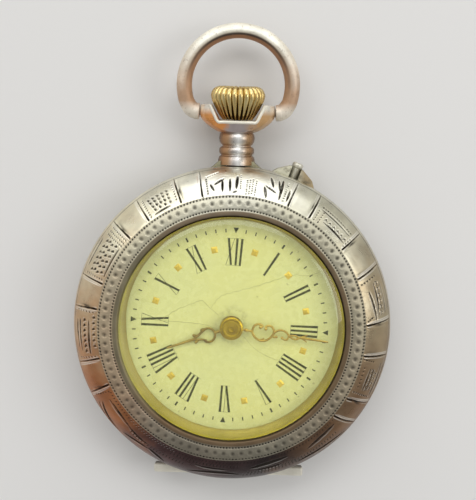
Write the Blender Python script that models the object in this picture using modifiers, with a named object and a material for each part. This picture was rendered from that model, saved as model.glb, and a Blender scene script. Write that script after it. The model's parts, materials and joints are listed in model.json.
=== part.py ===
"""A lady's open-face fob watch: crown wound, hands set with a pin, cylinder escapement.

The watch lies on its back. The origin is the middle of the flat of the back cover, the dial faces +Z,
12 o'clock is +Y and 3 o'clock is +X. Everything is drawn in millimetres under one empty scaled to metres.
"""

import math

import bmesh
import bpy
from mathutils import Matrix, Vector

# Case: radii and heights in millimetres
CASE_STEPS = 40
BEZEL_R = 16.0
BAND_R = 15.55
OPENING_R = 11.2
LEDGE_R = 12.2
SEAT_R = 13.3
STEM_Z = 3.56

# Hinges at 6 o'clock: the back's long one under the short one of the bezel
BACK_HINGE = (-15.55, 2.66)
BACK_KNUCKLE_R = 0.5
BACK_HINGE_HALF = 7.7
HINGE_SEAT_HALF = 5.4
HINGE_TIP_Y = -15.2
BEZEL_HINGE = (-15.6, 4.72)
BEZEL_KNUCKLE_R = 0.35

# Pendant, bow and crown, along +Y
BOW_PIVOT_Y = 21.35
BOW_ARC_Y = 24.05
BOW_ARC_R = 5.42
BOW_WIRE_R = 0.78
LUG_HALF_DEPTH = 1.9
CROWN_RIBS = 26

# Setting pin, clockwise from 12, and its guard's back as degrees from the pin and radius
PIN_ANGLE = 21.0
PIN_TIP_R = 17.6
PIN_SHANK_R = 0.35
GUARD_BACK = ((7.8, 15.95), (6.2, 16.4), (2.4, 17.05), (-2.3, 17.1), (-6.6, 16.55), (-8.7, 15.95))

# Movement levels
PLATE_Z = (4.45, 5.4)
PLATE_R = 13.2
BRIDGE_Z = (1.85, 2.6)
ESCAPE_COCK_Z = (2.62, 2.98)
BALANCE_COCK_Z = (1.4, 1.88)
KEYLESS_Z = (1.5, 1.8)
DIAL_Z = (5.8, 6.27)
DIAL_R = 11.6
HOUR_HAND_Z = (6.6, 6.73)
MINUTE_HAND_Z = (6.98, 7.11)

# Wheel train: teeth and modules
BARREL_TEETH, CENTRE_LEAVES, BARREL_MODULE = 80, 10, 0.14
CENTRE_TEETH, THIRD_LEAVES, CENTRE_MODULE = 64, 8, 0.11
THIRD_TEETH, FOURTH_LEAVES, THIRD_MODULE = 60, 8, 0.10
FOURTH_TEETH, ESCAPE_LEAVES, FOURTH_MODULE = 60, 6, 0.09
ESCAPE_TEETH, ESCAPE_TIP_R = 15, 1.62
CANNON_LEAVES, MINUTE_TEETH, MINUTE_MODULE = 12, 36, 0.10
MINUTE_LEAVES, HOUR_TEETH, HOUR_MODULE = 10, 40, 0.096
CROWN_TEETH, RATCHET_TEETH, KEYLESS_MODULE = 28, 44, 0.16
WINDING_LEAVES, CONTRATE_TEETH, CONTRATE_R = 14, 20, 2.0
CONTRATE_TOOTH = ((1.72, -3.2), (1.98, -2.8), (1.98, 2.8), (1.72, 3.2))
BLUNT_BELOW = 20
ADDENDUM, DEDENDUM = 0.85, 1.2

# Where the wheels stand
CENTRE = (0.0, 0.0)
BARREL = (-4.318, 4.588)
CROWN_WHEEL = (0.0, 8.4)
BALANCE_R = 4.6
BALANCE_REACH = 7.5
BALANCE_BEARING = -115.0
ESCAPE_REACH = 2.0
ESCAPE_BEARING = 15.0
FOURTH_BEARING = 35.0
MINUTE_BEARING = -60.0
LEVER_PIVOT = (7.6, 7.2)
CLICK_PIVOT = (-9.016, 2.878)
CLICK_CLEAR = 0.035

# Screws: place of each, and the feet of the bridges that they hold
BARREL_FEET = ((10.3, 3.2), (-11.0, 1.3))
TRAIN_FOOT = (9.6, -3.4)
ESCAPE_FOOT = (5.2, -8.8)
BALANCE_FOOT = (-10.0, -3.0)
FOOT_HOLE_R = 0.29
CASE_SCREW_R = 12.75
CASE_SCREW_BEARINGS = (150.0, -40.0)
DIAL_FOOT_R = 9.5
DIAL_FOOT_BEARINGS = (40.0, 160.0, 280.0)

# Time shown, as clockwise degrees from 12 on the case
MINUTE_HAND_AT = 96.8
HOUR_HAND_AT = 250.4

# Springs: turns and thickness of the bands
MAINSPRING_TURNS, MAINSPRING_BAND = 6, 0.15
HAIRSPRING_TURNS, HAIRSPRING_BAND = 3, 0.1


def polar(radius, degrees, centre=(0.0, 0.0)):
    angle = math.radians(degrees)
    return (centre[0] + radius * math.cos(angle), centre[1] + radius * math.sin(angle))


def clockwise(degrees):
    """A clock bearing as a direction in the case's plane."""
    return (math.sin(math.radians(degrees)), math.cos(math.radians(degrees)))


BALANCE = polar(BALANCE_REACH, BALANCE_BEARING)
ESCAPE = polar(ESCAPE_REACH, ESCAPE_BEARING, BALANCE)
FOURTH = polar(FOURTH_MODULE * (FOURTH_TEETH + ESCAPE_LEAVES) / 2, FOURTH_BEARING, ESCAPE)
MINUTE = polar(MINUTE_MODULE * (CANNON_LEAVES + MINUTE_TEETH) / 2, MINUTE_BEARING)


def meeting_point(first, first_reach, second, second_reach):
    """The point at both distances from two axes, on the right of the line from the first to the second."""
    dx, dy = second[0] - first[0], second[1] - first[1]
    span = math.hypot(dx, dy)
    along = (first_reach**2 - second_reach**2 + span**2) / (2 * span)
    off = math.sqrt(first_reach**2 - along**2)
    ux, uy = dx / span, dy / span
    return (first[0] + along * ux - off * uy, first[1] + along * uy + off * ux)


THIRD = meeting_point(
    CENTRE,
    CENTRE_MODULE * (CENTRE_TEETH + THIRD_LEAVES) / 2,
    FOURTH,
    THIRD_MODULE * (THIRD_TEETH + FOURTH_LEAVES) / 2,
)

for old in list(bpy.data.objects):
    bpy.data.objects.remove(old, do_unlink=True)
PARTS = bpy.data.collections.new("fob_watch")
CUTTERS = bpy.data.collections.new("fob_watch_cutters")
for group in (PARTS, CUTTERS):
    bpy.context.scene.collection.children.link(group)


# Materials
def material(name, colour, metallic, roughness):
    made = bpy.data.materials.new(name)
    made.use_nodes = True
    shader = made.node_tree.nodes["Principled BSDF"]
    shader.inputs["Base Color"].default_value = (*colour, 1.0)
    shader.inputs["Metallic"].default_value = metallic
    shader.inputs["Roughness"].default_value = roughness
    return made


SILVER = ((0.66, 0.60, 0.54), 1.0, 0.32)
WORN_SILVER = ((0.55, 0.47, 0.41), 1.0, 0.38)
GILT = ((0.62, 0.43, 0.14), 1.0, 0.3)
GILT_RING = ((0.50, 0.42, 0.12), 1.0, 0.4)
BRASS = ((0.66, 0.50, 0.20), 1.0, 0.35)
NICKEL = ((0.60, 0.58, 0.54), 1.0, 0.35)
STEEL = ((0.52, 0.53, 0.55), 1.0, 0.25)
BLUED = ((0.05, 0.08, 0.30), 1.0, 0.3)
ENAMEL = ((0.70, 0.70, 0.33), 0.0, 0.2)
GLASS = ((0.95, 0.97, 0.95), 0.0, 0.03)


# Empties: the watch itself, and one on the axis of each moving body
WATCH = bpy.data.objects.new("watch", None)
WATCH.scale = (0.001, 0.001, 0.001)
PARTS.objects.link(WATCH)


def axis(name, at):
    empty = bpy.data.objects.new("axis_" + name, None)
    empty.parent = WATCH
    empty.location = at
    PARTS.objects.link(empty)
    return empty


def put(obj, look, at=(0.0, 0.0, 0.0), turn=(0.0, 0.0, 0.0), on=None):
    """Hangs a piece on its body's axis, at a place given in the watch's own millimetres."""
    holder = on or WATCH
    origin = Vector(on.location) if on else Vector()
    obj.parent = holder
    obj.location = Vector(at) - origin
    obj.rotation_euler = turn
    obj.data.materials.clear()
    obj.data.materials.append(material(obj.name, *look))
    PARTS.objects.link(obj)
    return obj


def tool(obj, at=(0.0, 0.0, 0.0), turn=(0.0, 0.0, 0.0)):
    """Places a solid that only cuts or joins."""
    obj.parent = WATCH
    obj.location = at
    obj.rotation_euler = turn
    obj.hide_render = True
    obj.display_type = "WIRE"
    CUTTERS.objects.link(obj)
    return obj


def boolean(obj, other, operation):
    step = obj.modifiers.new(operation.title(), "BOOLEAN")
    step.operation = operation
    step.solver = "EXACT"
    step.object = other


def cut(obj, other):
    boolean(obj, other, "DIFFERENCE")


def join(obj, other):
    boolean(obj, other, "UNION")


# Shapes
def mesh_object(name, bm):
    mesh = bpy.data.meshes.new(name)
    bm.to_mesh(mesh)
    bm.free()
    mesh.shade_smooth()
    mesh.set_sharp_from_angle(angle=math.radians(35))
    return bpy.data.objects.new(name, mesh)


def turned(name, profile, steps):
    """A turned solid: the profile runs down its outer side; it is closed unless it starts on the axis."""
    count = len(profile)
    on_axis = profile[0][0] == 0
    edges = [(k, (k + 1) % count) for k in range(count - 1 if on_axis else count)]
    mesh = bpy.data.meshes.new(name)
    mesh.from_pydata([(r, 0.0, z) for r, z in profile], edges, [])
    obj = bpy.data.objects.new(name, mesh)
    lathe = obj.modifiers.new("Lathe", "SCREW")
    lathe.axis = "Z"
    lathe.angle = math.tau
    lathe.steps = steps
    lathe.render_steps = steps
    lathe.use_merge_vertices = True
    lathe.merge_threshold = 0.0001
    lathe.use_smooth_shade = True
    return obj


def boxes(name, spans):
    bm = bmesh.new()
    for low, high in spans:
        middle = [(a + b) / 2 for a, b in zip(low, high)]
        size = [b - a for a, b in zip(low, high)]
        where = Matrix.Translation(middle) @ Matrix.Diagonal((*size, 1.0))
        bmesh.ops.create_cube(bm, size=1.0, matrix=where)
    return mesh_object(name, bm)


def rods(name, spans, radius, sides=16):
    bm = bmesh.new()
    for start, end in spans:
        a, b = Vector(start), Vector(end)
        where = Matrix.Translation((a + b) / 2) @ (b - a).to_track_quat("Z", "Y").to_matrix().to_4x4()
        bmesh.ops.create_cone(
            bm,
            cap_ends=True,
            segments=sides,
            radius1=radius,
            radius2=radius,
            depth=(b - a).length,
            matrix=where,
        )
    return mesh_object(name, bm)


def flat(name, loops, thickness):
    """A plate from closed outlines: the first is its edge, the others are its holes."""
    curve = bpy.data.curves.new(name, "CURVE")
    curve.dimensions = "2D"
    curve.fill_mode = "BOTH"
    curve.extrude = thickness / 2
    for loop in loops:
        spline = curve.splines.new("POLY")
        spline.points.add(len(loop) - 1)
        for point, (x, y) in zip(spline.points, loop):
            point.co = (x, y, 0.0, 1.0)
        spline.use_cyclic_u = True
    return bpy.data.objects.new(name, curve)


def solid(obj):
    """The same shape as a closed mesh, so that it can be cut and joined."""
    CUTTERS.objects.link(obj)
    bpy.context.view_layer.update()
    shape = obj.evaluated_get(bpy.context.evaluated_depsgraph_get())
    mesh = bpy.data.meshes.new_from_object(shape)
    name = obj.name
    bpy.data.objects.remove(obj, do_unlink=True)
    bm = bmesh.new()
    bm.from_mesh(mesh)
    bmesh.ops.remove_doubles(bm, verts=bm.verts, dist=0.0001)
    bmesh.ops.recalc_face_normals(bm, faces=bm.faces)
    bpy.data.meshes.remove(mesh)
    return mesh_object(name, bm)


def plate(name, loops, levels):
    """A plate between two heights, as a mesh in its own place."""
    obj = solid(flat(name, loops, levels[1] - levels[0]))
    obj.data.transform(Matrix.Translation((0.0, 0.0, (levels[0] + levels[1]) / 2)))
    return obj


# Outlines
def circle(radius, count=16, centre=(0.0, 0.0)):
    return [polar(radius, 360.0 * k / count, centre) for k in range(count)]


def arc(radius, start, end, count, centre=(0.0, 0.0)):
    return [polar(radius, start + (end - start) * k / (count - 1), centre) for k in range(count)]


def gear(teeth, module, phase=0.0):
    """Teeth, one of them pointing at the phase angle: pointed on a wheel, blunt on a pinion."""
    pitch = 360.0 / teeth
    tip = module * (teeth / 2 + ADDENDUM)
    root = module * (teeth / 2 - DEDENDUM)
    blunt = (-0.13, 0.13) if teeth < BLUNT_BELOW else (0.0,)
    outline = []
    for k in range(teeth):
        middle = phase + k * pitch
        outline += [polar(tip, middle + part * pitch) for part in blunt]
        outline.append(polar(root, middle + 0.5 * pitch))
    return outline


def meshed(teeth, phase, bearing, follower_teeth):
    """The phase of a follower, lying at the bearing, that puts its gap on the driver's tooth."""
    place = ((bearing - phase) * teeth / 360.0) % 1.0
    return bearing + 180.0 - (0.5 - place) * 360.0 / follower_teeth


def bearing(start, end):
    return math.degrees(math.atan2(end[1] - start[1], end[0] - start[0]))


def windows(count, inner, outer, arm):
    """The openings between the arms of a crossed-out wheel."""
    loops = []
    for k in range(count):
        start, end = 360.0 * k / count, 360.0 * (k + 1) / count
        far = math.degrees(math.asin(arm / 2 / outer))
        near = math.degrees(math.asin(arm / 2 / inner))
        loops.append(arc(outer, start + far, end - far, 4) + arc(inner, end - near, start + near, 2))
    return loops


def teardrop(centre, radius, tip, count=10):
    aim = math.degrees(math.atan2(tip[1] - centre[1], tip[0] - centre[0]))
    return [tip] + arc(radius, aim + 65.0, aim + 295.0, count, centre)


def capsule(first, first_r, second, second_r, count=9):
    aim = math.degrees(math.atan2(second[1] - first[1], second[0] - first[0]))
    left = arc(first_r, aim + 90.0, aim + 270.0, count, first)
    return left + arc(second_r, aim - 90.0, aim + 90.0, count, second)


def spiral(inner, outer, turns, per_turn):
    count = turns * per_turn
    return [polar(inner + (outer - inner) * k / count, 360.0 * k / per_turn) for k in range(count + 1)]


def ribbon(points, thickness):
    """The outline of a band of even thickness along a line of points."""
    left, right = [], []
    for k, (x, y) in enumerate(points):
        ahead = points[min(k + 1, len(points) - 1)]
        behind = points[max(k - 1, 0)]
        dx, dy = ahead[0] - behind[0], ahead[1] - behind[1]
        size = math.hypot(dx, dy) * 2 / thickness
        left.append((x - dy / size, y + dx / size))
        right.append((x + dy / size, y - dx / size))
    return left + right[::-1]


def least_gap(points, thickness, per_turn):
    """The smallest clear distance between two turns of a spiral band."""
    gaps = []
    for k, a in enumerate(points):
        for b in points[k + per_turn // 2 :]:
            gaps.append(math.hypot(a[0] - b[0], a[1] - b[1]) - thickness)
    return min(gaps)


def screw(name, at, head, shank, head_r=0.55, shank_r=0.24, on=None):
    """A slotted screw seen from the back: the head's two heights, then where the shank ends."""
    profile = [
        (0.0, shank),
        (shank_r, shank),
        (shank_r, head[1]),
        (head_r, head[1]),
        (head_r, head[0]),
        (0.0, head[0]),
    ]
    obj = put(turned(name, profile, 8), STEEL, at=(*at, 0.0), on=on)
    depth = (head[1] - head[0]) * 0.45
    span = ((-head_r - 0.2, -0.08, head[0] - 0.2), (head_r + 0.2, 0.08, head[0] + depth))
    cut(obj, tool(boxes(name + "_slot", [span]), at=(*at, 0.0), turn=(0.0, 0.0, 0.6)))


ALONG_Y = (-math.pi / 2, 0.0, 0.0)

# Case band: the ring that carries everything else
band_profile = [
    (SEAT_R, 5.0),
    (14.85, 5.0),
    (14.9, 4.7),
    (15.45, 4.7),
    (BAND_R, 4.2),
    (BAND_R, 3.2),
    (15.45, 2.72),
    (15.05, 2.72),
    (15.0, 2.3),
    (14.4, 2.3),
    (14.4, 2.72),
    (LEDGE_R, 2.72),
    (LEDGE_R, 4.38),
    (SEAT_R, 4.38),
]
band = put(turned("case_band", band_profile, CASE_STEPS), SILVER)

hy, hz = BACK_HINGE
bar = ((-BACK_HINGE_HALF, -16.0, 3.25), (BACK_HINGE_HALF, HINGE_TIP_Y, 3.75))
join(band, tool(boxes("hinge_bar", [bar])))
seat = ((-HINGE_SEAT_HALF, -15.9, 3.3), (HINGE_SEAT_HALF, -13.9, 3.7))
join(band, tool(boxes("hinge_seat", [seat])))
room = [((-4.65, -17.0, 1.9), (4.65, -14.95, 3.23))]
cut(band, tool(boxes("back_knuckle_room", room)))
ears = [
    ((-BACK_HINGE_HALF + 0.05, -15.98, hz), (-4.75, -15.12, 3.5)),
    ((4.75, -15.98, hz), (BACK_HINGE_HALF - 0.05, -15.12, 3.5)),
]
join(band, tool(boxes("back_hinge_ears", ears)))
outer_knuckles = [
    ((-BACK_HINGE_HALF, hy, hz), (-4.7, hy, hz)),
    ((4.7, hy, hz), (BACK_HINGE_HALF, hy, hz)),
]
join(band, tool(rods("back_band_knuckles", outer_knuckles, BACK_KNUCKLE_R)))
cut(band, tool(boxes("cuvette_room", [((-1.9, -17.0, 1.9), (1.9, -13.85, 2.95))])))
back_bore = tool(rods("back_bore", [((-9.0, hy, hz), (9.0, hy, hz))], 0.28))
cut(band, back_bore)

by, bz = BEZEL_HINGE
cut(band, tool(boxes("bezel_knuckle_room", [((-1.45, -17.0, 4.28), (1.45, -15.12, 5.2))])))
webs = [((-2.6, -15.75, 4.25), (-1.55, -14.6, 4.66)), ((1.55, -15.75, 4.25), (2.6, -14.6, 4.66))]
join(band, tool(boxes("bezel_hinge_webs", webs)))
side_knuckles = [((-2.65, by, bz), (-1.5, by, bz)), ((1.5, by, bz), (2.65, by, bz))]
join(band, tool(rods("bezel_band_knuckles", side_knuckles, BEZEL_KNUCKLE_R)))
bezel_bore = tool(rods("bezel_bore", [((-4.0, by, bz), (4.0, by, bz))], 0.19, 12))
cut(band, bezel_bore)

cut(band, tool(rods("stem_hole", [((0.0, 11.0, STEM_Z), (0.0, 17.0, STEM_Z))], 0.75)))
px, py = clockwise(PIN_ANGLE)
pin_turn = (-math.pi / 2, 0.0, -math.radians(PIN_ANGLE))
pin_hole = [(0.0, 18.0), (0.64, 18.0), (0.64, 15.05), (0.42, 15.05), (0.42, 11.0), (0.0, 11.0)]
pin_room = tool(turned("pin_hole", pin_hole, 16), at=(0.0, 0.0, STEM_Z), turn=pin_turn)
cut(band, pin_room)
case_screw_at = [polar(CASE_SCREW_R, b) for b in CASE_SCREW_BEARINGS]
case_screw_holes = [((x, y, 2.0), (x, y, 4.6)) for x, y in case_screw_at]
cut(band, tool(rods("case_screw_holes", case_screw_holes, 0.3, 12)))

put(rods("back_hinge_pin", [((-7.65, hy, hz), (7.65, hy, hz))], 0.23, 12), STEEL)
put(rods("bezel_hinge_pin", [((-2.6, by, bz), (2.6, by, bz))], 0.15, 10), STEEL)

# Pendant: a ringed neck and a cup filed away front and back into two lugs
pendant_profile = [
    (2.78, 22.1),
    (3.74, 22.1),
    (3.78, 21.2),
    (3.5, 20.5),
    (2.6, 19.75),
    (1.72, 19.3),
    (1.78, 18.6),
    (1.48, 18.15),
    (1.8, 17.8),
    (1.76, 17.25),
    (1.52, 17.05),
    (1.88, 16.1),
    (0.95, 16.1),
    (0.95, 15.68),
    (0.7, 15.68),
    (0.7, 13.4),
    (0.46, 13.4),
    (0.46, 20.42),
    (2.05, 20.42),
]
pendant = put(turned("pendant", pendant_profile, 20), SILVER, at=(0.0, 0.0, STEM_Z), turn=ALONG_Y)
notch = [(-1.78, 20.5), (1.78, 20.5), (2.7, 22.3), (-2.7, 22.3)]
cut(pendant, tool(plate("pendant_notch", [notch], (STEM_Z - 5.0, STEM_Z + 5.0))))
cheeks = [
    ((-5.0, 19.2, STEM_Z + LUG_HALF_DEPTH), (5.0, 22.6, STEM_Z + 5.0)),
    ((-5.0, 19.2, STEM_Z - 5.0), (5.0, 22.6, STEM_Z - LUG_HALF_DEPTH)),
]
cut(pendant, tool(boxes("pendant_cheeks", cheeks)))
pivot_span = [((-5.0, BOW_PIVOT_Y, STEM_Z), (5.0, BOW_PIVOT_Y, STEM_Z))]
cut(pendant, tool(rods("bow_holes", pivot_span, 0.45)))

# Bow: a round wire stirrup with a pip at each end in the pendant's lugs
bow_axis = axis("bow", (0.0, BOW_PIVOT_Y, STEM_Z))
half = [(3.87, BOW_PIVOT_Y, 0.94), (4.35, BOW_PIVOT_Y + 0.04, 1.0)]
sweep = arc(BOW_ARC_R, -24.0, 204.0, 19, (0.0, BOW_ARC_Y))
line = half + [(x, y, 1.0) for x, y in sweep] + [(-x, y, r) for x, y, r in reversed(half)]
bow_curve = bpy.data.curves.new("bow", "CURVE")
bow_curve.dimensions = "3D"
bow_curve.bevel_depth = BOW_WIRE_R
bow_curve.bevel_resolution = 3
bow_curve.use_fill_caps = True
wire = bow_curve.splines.new("POLY")
wire.points.add(len(line) - 1)
for point, (x, y, radius) in zip(wire.points, line):
    point.co = (x, y, STEM_Z, 1.0)
    point.radius = radius
bow = put(solid(bpy.data.objects.new("bow", bow_curve)), SILVER, on=bow_axis)
pips = [
    ((2.95, BOW_PIVOT_Y, STEM_Z), (4.3, BOW_PIVOT_Y, STEM_Z)),
    ((-4.3, BOW_PIVOT_Y, STEM_Z), (-2.95, BOW_PIVOT_Y, STEM_Z)),
]
join(bow, tool(rods("bow_pips", pips, 0.38, 12)))

# Crown, stem and winding pinion, on one axis
crown_axis = axis("crown", (0.0, 22.0, STEM_Z))
star = []
for k in range(CROWN_RIBS):
    star.append(polar(1.0, 360.0 * k / CROWN_RIBS))
    star.append(polar(0.88, 360.0 * (k + 0.5) / CROWN_RIBS))
rib_section = flat("crown_section", [star], 0.0)
rib_section.data.fill_mode = "NONE"
tool(rib_section)
crown_swell = [
    (20.62, 1.5),
    (21.2, 1.94),
    (22.0, 2.38),
    (22.8, 2.7),
    (23.25, 2.7),
    (23.6, 2.42),
    (23.8, 1.9),
]
crown_curve = bpy.data.curves.new("crown", "CURVE")
crown_curve.dimensions = "3D"
crown_curve.bevel_mode = "OBJECT"
crown_curve.bevel_object = rib_section
crown_curve.use_fill_caps = True
spine = crown_curve.splines.new("POLY")
spine.points.add(len(crown_swell) - 1)
for point, (y, radius) in zip(spine.points, crown_swell):
    point.co = (0.0, y, STEM_Z, 1.0)
    point.radius = radius
crown = put(solid(bpy.data.objects.new("crown", crown_curve)), GILT, on=crown_axis)
cut(crown, tool(rods("crown_bore", [((0.0, 20.0, STEM_Z), (0.0, 22.6, STEM_Z))], 0.45, 12)))
stem_span = [((0.0, 9.4, STEM_Z), (0.0, 22.4, STEM_Z))]
put(rods("winding_stem", stem_span, 0.39, 12), STEEL, on=crown_axis)
winding_pitch = CONTRATE_R * WINDING_LEAVES / CONTRATE_TEETH
winding = gear(WINDING_LEAVES, 2 * winding_pitch / WINDING_LEAVES * 0.98, 90.0)
pinion = plate("winding_pinion", [winding, circle(0.44, 12)], (10.05, 10.75))
put(pinion, STEEL, at=(0.0, 0.0, STEM_Z), turn=ALONG_Y, on=crown_axis)

# Setting pin between its guard's two shoulders
pin_axis = axis("setting_pin", (16.0 * px, 16.0 * py, STEM_Z))
pin_profile = [
    (0.0, PIN_TIP_R),
    (0.32, PIN_TIP_R - 0.05),
    (0.55, PIN_TIP_R - 0.3),
    (0.56, 15.95),
    (PIN_SHANK_R, 15.9),
    (PIN_SHANK_R, 11.64),
    (0.0, 11.64),
]
setting_pin = turned("setting_pin", pin_profile, 16)
put(setting_pin, SILVER, at=(0.0, 0.0, STEM_Z), turn=pin_turn, on=pin_axis)
guard_bearing = 90.0 - PIN_ANGLE
guard_edge = arc(15.64, guard_bearing - 8.8, guard_bearing + 7.9, 9)
guard_back = [polar(radius, guard_bearing + turn) for turn, radius in GUARD_BACK]
pin_guard = put(plate("pin_guard", [guard_edge + guard_back], (2.8, 4.6)), SILVER)
cut(pin_guard, pin_room)

# Bezel and crystal
bezel_axis = axis("bezel", (0.0, by, bz))
bezel_profile = [
    (OPENING_R, 8.24),
    (11.55, 8.4),
    (12.6, 8.32),
    (13.25, 8.12),
    (14.1, 7.7),
    (14.95, 7.02),
    (15.65, 6.1),
    (BEZEL_R, 5.2),
    (BEZEL_R, 4.76),
    (15.0, 4.76),
    (15.0, 5.4),
    (14.1, 6.7),
    (12.6, 7.5),
    (11.76, 7.55),
    (11.76, 8.1),
    (OPENING_R, 8.1),
]
bezel = put(turned("bezel", bezel_profile, CASE_STEPS), SILVER, on=bezel_axis)
gaps = [((-2.75, -17.0, 4.5), (-1.42, -15.12, 5.15)), ((1.42, -17.0, 4.5), (2.75, -15.12, 5.15))]
cut(bezel, tool(boxes("bezel_knuckle_gaps", gaps)))
join(bezel, tool(rods("bezel_knuckle", [((-1.36, by, bz), (1.36, by, bz))], BEZEL_KNUCKLE_R)))
cut(bezel, bezel_bore)


def dome(top, edge, reach, radii):
    return [(r, top - (top - edge) * (r / reach) ** 2) for r in radii]


crystal_profile = dome(9.4, 8.22, 11.16, (0.0, 4.5, 8.2, 11.16))
crystal_profile += [(11.16, 8.06), (11.7, 8.06), (11.7, 7.6)]
crystal_profile += dome(8.86, 7.62, 11.1, (11.1, 7.5, 3.5, 0.0))
put(turned("crystal", crystal_profile, CASE_STEPS), GLASS, on=bezel_axis)

# Back cover, and the inner cover on the same pin
back_axis = axis("back_cover", (0.0, hy, hz))
back_profile = [
    (0.0, 0.42),
    (9.5, 0.42),
    (13.2, 0.98),
    (15.1, 2.05),
    (15.14, 2.64),
    (15.9, 2.64),
    (15.85, 2.1),
    (15.2, 1.2),
    (13.0, 0.4),
    (9.6, 0.0),
    (0.0, 0.0),
]
back = put(turned("back_cover", back_profile, CASE_STEPS), SILVER, on=back_axis)
cut(back, tool(boxes("back_rim_gap", [((-7.85, -17.0, 1.75), (7.85, -14.95, 3.0))])))
back_ears = [((-4.4, -15.75, 1.3), (-2.0, -15.0, hz)), ((2.0, -15.75, 1.3), (4.4, -15.0, hz))]
join(back, tool(boxes("back_ears", back_ears)))
back_knuckles = [((-4.58, hy, hz), (-1.9, hy, hz)), ((1.9, hy, hz), (4.58, hy, hz))]
join(back, tool(rods("back_knuckles", back_knuckles, BACK_KNUCKLE_R)))
cut(back, back_bore)

cuvette_axis = axis("cuvette", (0.0, hy, hz))
cuvette_profile = [
    (0.0, 0.95),
    (10.6, 0.97),
    (12.8, 1.4),
    (13.98, 2.1),
    (13.98, 2.62),
    (14.3, 2.62),
    (14.3, 2.15),
    (13.9, 1.62),
    (12.8, 1.12),
    (10.6, 0.7),
    (0.0, 0.68),
]
cuvette = put(turned("cuvette", cuvette_profile, CASE_STEPS), WORN_SILVER, on=cuvette_axis)
join(cuvette, tool(boxes("cuvette_arm", [((-1.55, -15.45, 2.24), (1.55, -14.08, 2.55))])))
join(cuvette, tool(rods("cuvette_knuckle", [((-1.75, hy, hz), (1.75, hy, hz))], BACK_KNUCKLE_R)))
cut(cuvette, back_bore)

# Main plate: open at 12 for the winding pinion, sunk in front for the motion work
half_slot = math.degrees(math.asin(1.65 / PLATE_R))
rim = arc(PLATE_R, 90.0 + half_slot, 450.0 - half_slot, 37)
slot = [(1.65, 9.2), (-1.65, 9.2)]
holes = [circle(0.42, 8), circle(0.48, 8, BARREL), circle(0.3, 6, LEVER_PIVOT)]
for pivot in (THIRD, FOURTH, ESCAPE, BALANCE):
    holes.append(circle(0.17, 6, pivot))
for foot in BARREL_FEET + (TRAIN_FOOT, ESCAPE_FOOT, BALANCE_FOOT):
    holes.append(circle(0.31, 6, foot))
for spot in case_screw_at:
    holes.append(circle(0.31, 6, spot))
for degrees in DIAL_FOOT_BEARINGS:
    holes.append(circle(0.48, 8, polar(DIAL_FOOT_R, degrees)))
main_plate = put(plate("main_plate", [rim + slot] + holes, PLATE_Z), BRASS)
cut(main_plate, tool(rods("motion_sink", [((0.0, 0.0, 5.0), (0.0, 0.0, 6.0))], 2.2, 20)))
cut(main_plate, tool(rods("minute_sink", [((*MINUTE, 5.01), (*MINUTE, 6.0))], 2.05, 20)))
join(main_plate, tool(rods("minute_post", [((*MINUTE, 4.8), (*MINUTE, 5.66))], 0.18, 10)))

# Bridges and cocks, each with its foot on the plate
upper = arc(11.9, 5.0, 82.0, 14) + [(1.65, 9.35), (-1.65, 9.35)] + arc(11.9, 98.0, 177.0, 14)
lower = [(-2.1, 0.62)] + arc(2.05, 162.0, 20.0, 8)
barrel_holes = [circle(0.64, 14, BARREL), circle(0.6, 12, CROWN_WHEEL), circle(0.29, 8, CLICK_PIVOT)]
barrel_bridge = put(plate("barrel_bridge", [upper + lower] + barrel_holes, BRIDGE_Z), NICKEL)
feet = [((x, y, 2.3), (x, y, PLATE_Z[0] - 0.03)) for x, y in BARREL_FEET]
join(barrel_bridge, tool(rods("barrel_feet", feet, 0.75, 14)))
foot_holes = [((x, y, 1.0), (x, y, 5.0)) for x, y in BARREL_FEET]
cut(barrel_bridge, tool(rods("barrel_foot_holes", foot_holes, FOOT_HOLE_R, 8)))
sink = [((*CROWN_WHEEL, 1.0), (*CROWN_WHEEL, 2.33))]
cut(barrel_bridge, tool(rods("crown_wheel_sink", sink, 2.5, 28)))

train_outline = [(11.86, 0.55)] + arc(11.9, -2.0, -38.0, 8) + [(5.6, -5.0), (3.3, -3.5), (1.25, -1.45)]
train_outline += arc(1.7, -60.0, -340.0, 14)
train_holes = [circle(0.24, 10), circle(0.15, 8, THIRD)]
train_bridge = put(plate("train_bridge", [train_outline] + train_holes, BRIDGE_Z), NICKEL)
foot = [((*TRAIN_FOOT, 2.3), (*TRAIN_FOOT, PLATE_Z[0] - 0.03))]
join(train_bridge, tool(rods("train_foot", foot, 0.8, 14)))
foot_hole = [((*TRAIN_FOOT, 1.0), (*TRAIN_FOOT, 5.0))]
cut(train_bridge, tool(rods("train_foot_hole", foot_hole, FOOT_HOLE_R, 8)))

cock_corner = [(FOURTH[0] + 0.45, FOURTH[1] - 0.15), (FOURTH[0] + 0.1, FOURTH[1] + 0.42)]
cock_corner += [(FOURTH[0] - 0.4, FOURTH[1] + 0.2), (ESCAPE[0] - 0.2, ESCAPE[1] + 0.42)]
cock_outline = arc(0.95, -140.0, 60.0, 9, ESCAPE_FOOT) + cock_corner
cock_outline += arc(0.45, 150.0, 260.0, 5, ESCAPE)
escape_holes = [circle(0.15, 8, FOURTH), circle(0.15, 8, ESCAPE)]
escape_cock = put(plate("escape_cock", [cock_outline] + escape_holes, ESCAPE_COCK_Z), NICKEL)
foot = [((*ESCAPE_FOOT, 2.8), (*ESCAPE_FOOT, PLATE_Z[0] - 0.03))]
join(escape_cock, tool(rods("escape_foot", foot, 0.75, 14)))
foot_hole = [((*ESCAPE_FOOT, 1.0), (*ESCAPE_FOOT, 5.0))]
cut(escape_cock, tool(rods("escape_foot_hole", foot_hole, FOOT_HOLE_R, 8)))

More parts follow.
